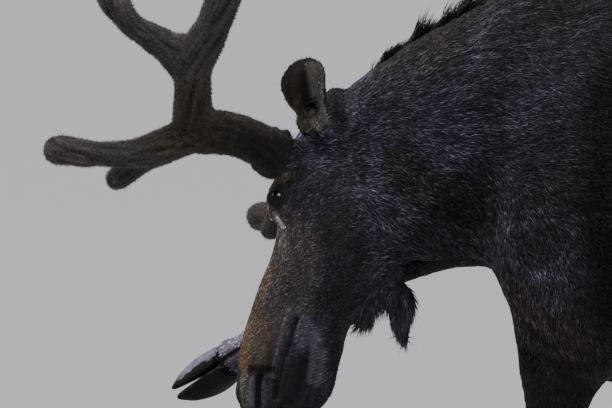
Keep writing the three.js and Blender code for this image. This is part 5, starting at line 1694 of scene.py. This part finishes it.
DEWCLAW = [[13, 0], [15, -10], [14, -22], [10, -34], [5, -42]]  # radius, height
LIFTED_INNER = (3, -3.2, 0.84)  # the lifted foot's inner claw: splay, cleft, share of the width


def claw(foot, side):
    """One claw: vertices in the animal's frame, triangles, vertices in the foot's frame."""
    splay, cleft, slim = FEET[foot][2], CLEFT, 1.0
    if foot == LIFTED_FOOT and side < 0:
        splay, cleft, slim = LIFTED_INNER
    turn = math.radians(splay)
    closed = CLAW_OUTLINE[-2:] + CLAW_OUTLINE + CLAW_OUTLINE[:2]
    t = (2 + np.linspace(0, len(CLAW_OUTLINE), 60, endpoint=False)) / (len(closed) - 1)
    outline = curve(closed, t)
    rows = curve(CLAW_LEVELS, np.linspace(0, 1, 26))
    rings = []
    for k, (share, toe, heel, width, inner) in enumerate(rows):
        along = heel + (toe - heel) * outline[:, 0]
        across = inner + (width * slim - inner) * outline[:, 1]
        ripple = 0.5 * math.sin(share * 40) * (0 < k < len(rows) - 1)
        across = across + ripple * (outline[:, 1] > 0.2)
        x = along * math.cos(turn) - across * math.sin(turn)
        y = along * math.sin(turn) + across * math.cos(turn) + cleft
        z = share * coronet_at(np.minimum(x, CLAW_LENGTH * CORONET_FRONT))
        rings.append(np.stack([x, y * side, z], 1))
    v, t = loft(np.array(rings))
    return moved(foot_matrix(foot), v), t, v * [1, side, 1]


def dewclaw(foot, side):
    """One dewclaw, in the same form, with its height as the only place in the foot's frame."""
    x, z, lean = FEET[foot][3]
    row = curve(DEWCLAW, np.linspace(0, 1, 14))
    v, t = loft(turned_rings(row[:, 0] * 1.25, row[:, 0], row[:, 1], 28))
    v = v @ rotation("Y", math.radians(lean)).T + np.array([x, side * DEWCLAW_APART, z])
    return moved(foot_matrix(foot), v), t, v * [0, 1, 0]


def horn_colours(p, foot, side):
    """A claw's colour from its points in the foot's frame, turned to the outer side: dark slate,
    paler up the wall and pale grey on the wall of the lifted foot that takes the light."""
    tone = plain([0.0065, 0.0062, 0.0060], p)
    edge = p[:, 1] + 3.5 * swirl(p, 26, 71)
    if foot == LIFTED_FOOT and side < 0:
        return mixed(tone, [0.195, 0.200, 0.235], blended(15, 20, edge))
    tone = mixed(tone, [0.034, 0.032, 0.040], blended(12, 5, edge) * blended(8, 26, p[:, 2]))
    if foot == LIFTED_FOOT:
        return tone
    return mixed(tone, [0.030, 0.028, 0.030], blended(30, 75, p[:, 2]) * 0.7)


for foot in FEET:
    for which, side in (("outer", 1), ("inner", -1)):
        for kind, (v, t, local) in (("claw", claw(foot, side)), ("dewclaw", dewclaw(foot, side))):
            horn = mesh_object(f"horn_{foot}_{kind}_{which}", packed(v), t)
            set_colour(horn, horn_colours(local, foot, side if kind == "claw" else 1))
            horn.data.materials.append(horn_material)
            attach(horn, "root")
            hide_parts(f"{foot}_{kind}_{which}")

# ---- floor, light, camera
FLOOR_REACH = 60.0
LENS = 183.5
CAMERA_SPOT = np.array([-1238.0, 5825.0, 2155.0])
CAMERA_LOOKS_AT = np.array([0.0, 0.0, 1424.0])

corners = FLOOR_REACH * np.array([[-1, -1, 0], [1, -1, 0], [1, 1, 0], [-1, 1, 0]])
floor = mesh_object("floor", corners, np.array([[0, 1, 2], [0, 2, 3]]), smooth=False)
floor_material, floor_shader = new_material("floor_pale", Roughness=0.9, Specular_IOR_Level=0.1)
floor_shader.inputs["Base Color"].default_value = (0.62, 0.62, 0.60, 1)
floor.data.materials.append(floor_material)

world = bpy.data.worlds.new("studio")
bpy.context.scene.world = world
world.use_nodes = True
sky = world.node_tree.nodes["Background"]
sky.inputs["Color"].default_value = (0.87, 0.87, 1.0, 1)
sky.inputs["Strength"].default_value = 0.72

target = Vector(packed(CAMERA_LOOKS_AT))


def aimed(name, data, where):
    """A lamp or camera at a place, turned to the target."""
    obj = in_scene(name, data)
    obj.location = where
    obj.rotation_euler = (target - where).to_track_quat("-Z", "Y").to_euler()
    return obj


key = bpy.data.lights.new("key", "SUN")
key.energy = 1.3
key.color = (1.0, 0.96, 0.90)
key.angle = math.radians(40)
aimed("key", key, target + Vector((3.5, 1.0, 5.0)))
soft = bpy.data.lights.new("sky", "AREA")
soft.energy = 110.0
soft.color = (0.88, 0.90, 1.0)
soft.shape = "DISK"
soft.size = 3.0
aimed("sky", soft, target + Vector((-0.5, 1.5, 3.2)))

camera = bpy.data.cameras.new("camera")
camera.lens = LENS
camera.sensor_width = 36.0
camera.clip_end = 200.0
bpy.context.scene.camera = aimed("camera", camera, Vector(packed(CAMERA_SPOT)))
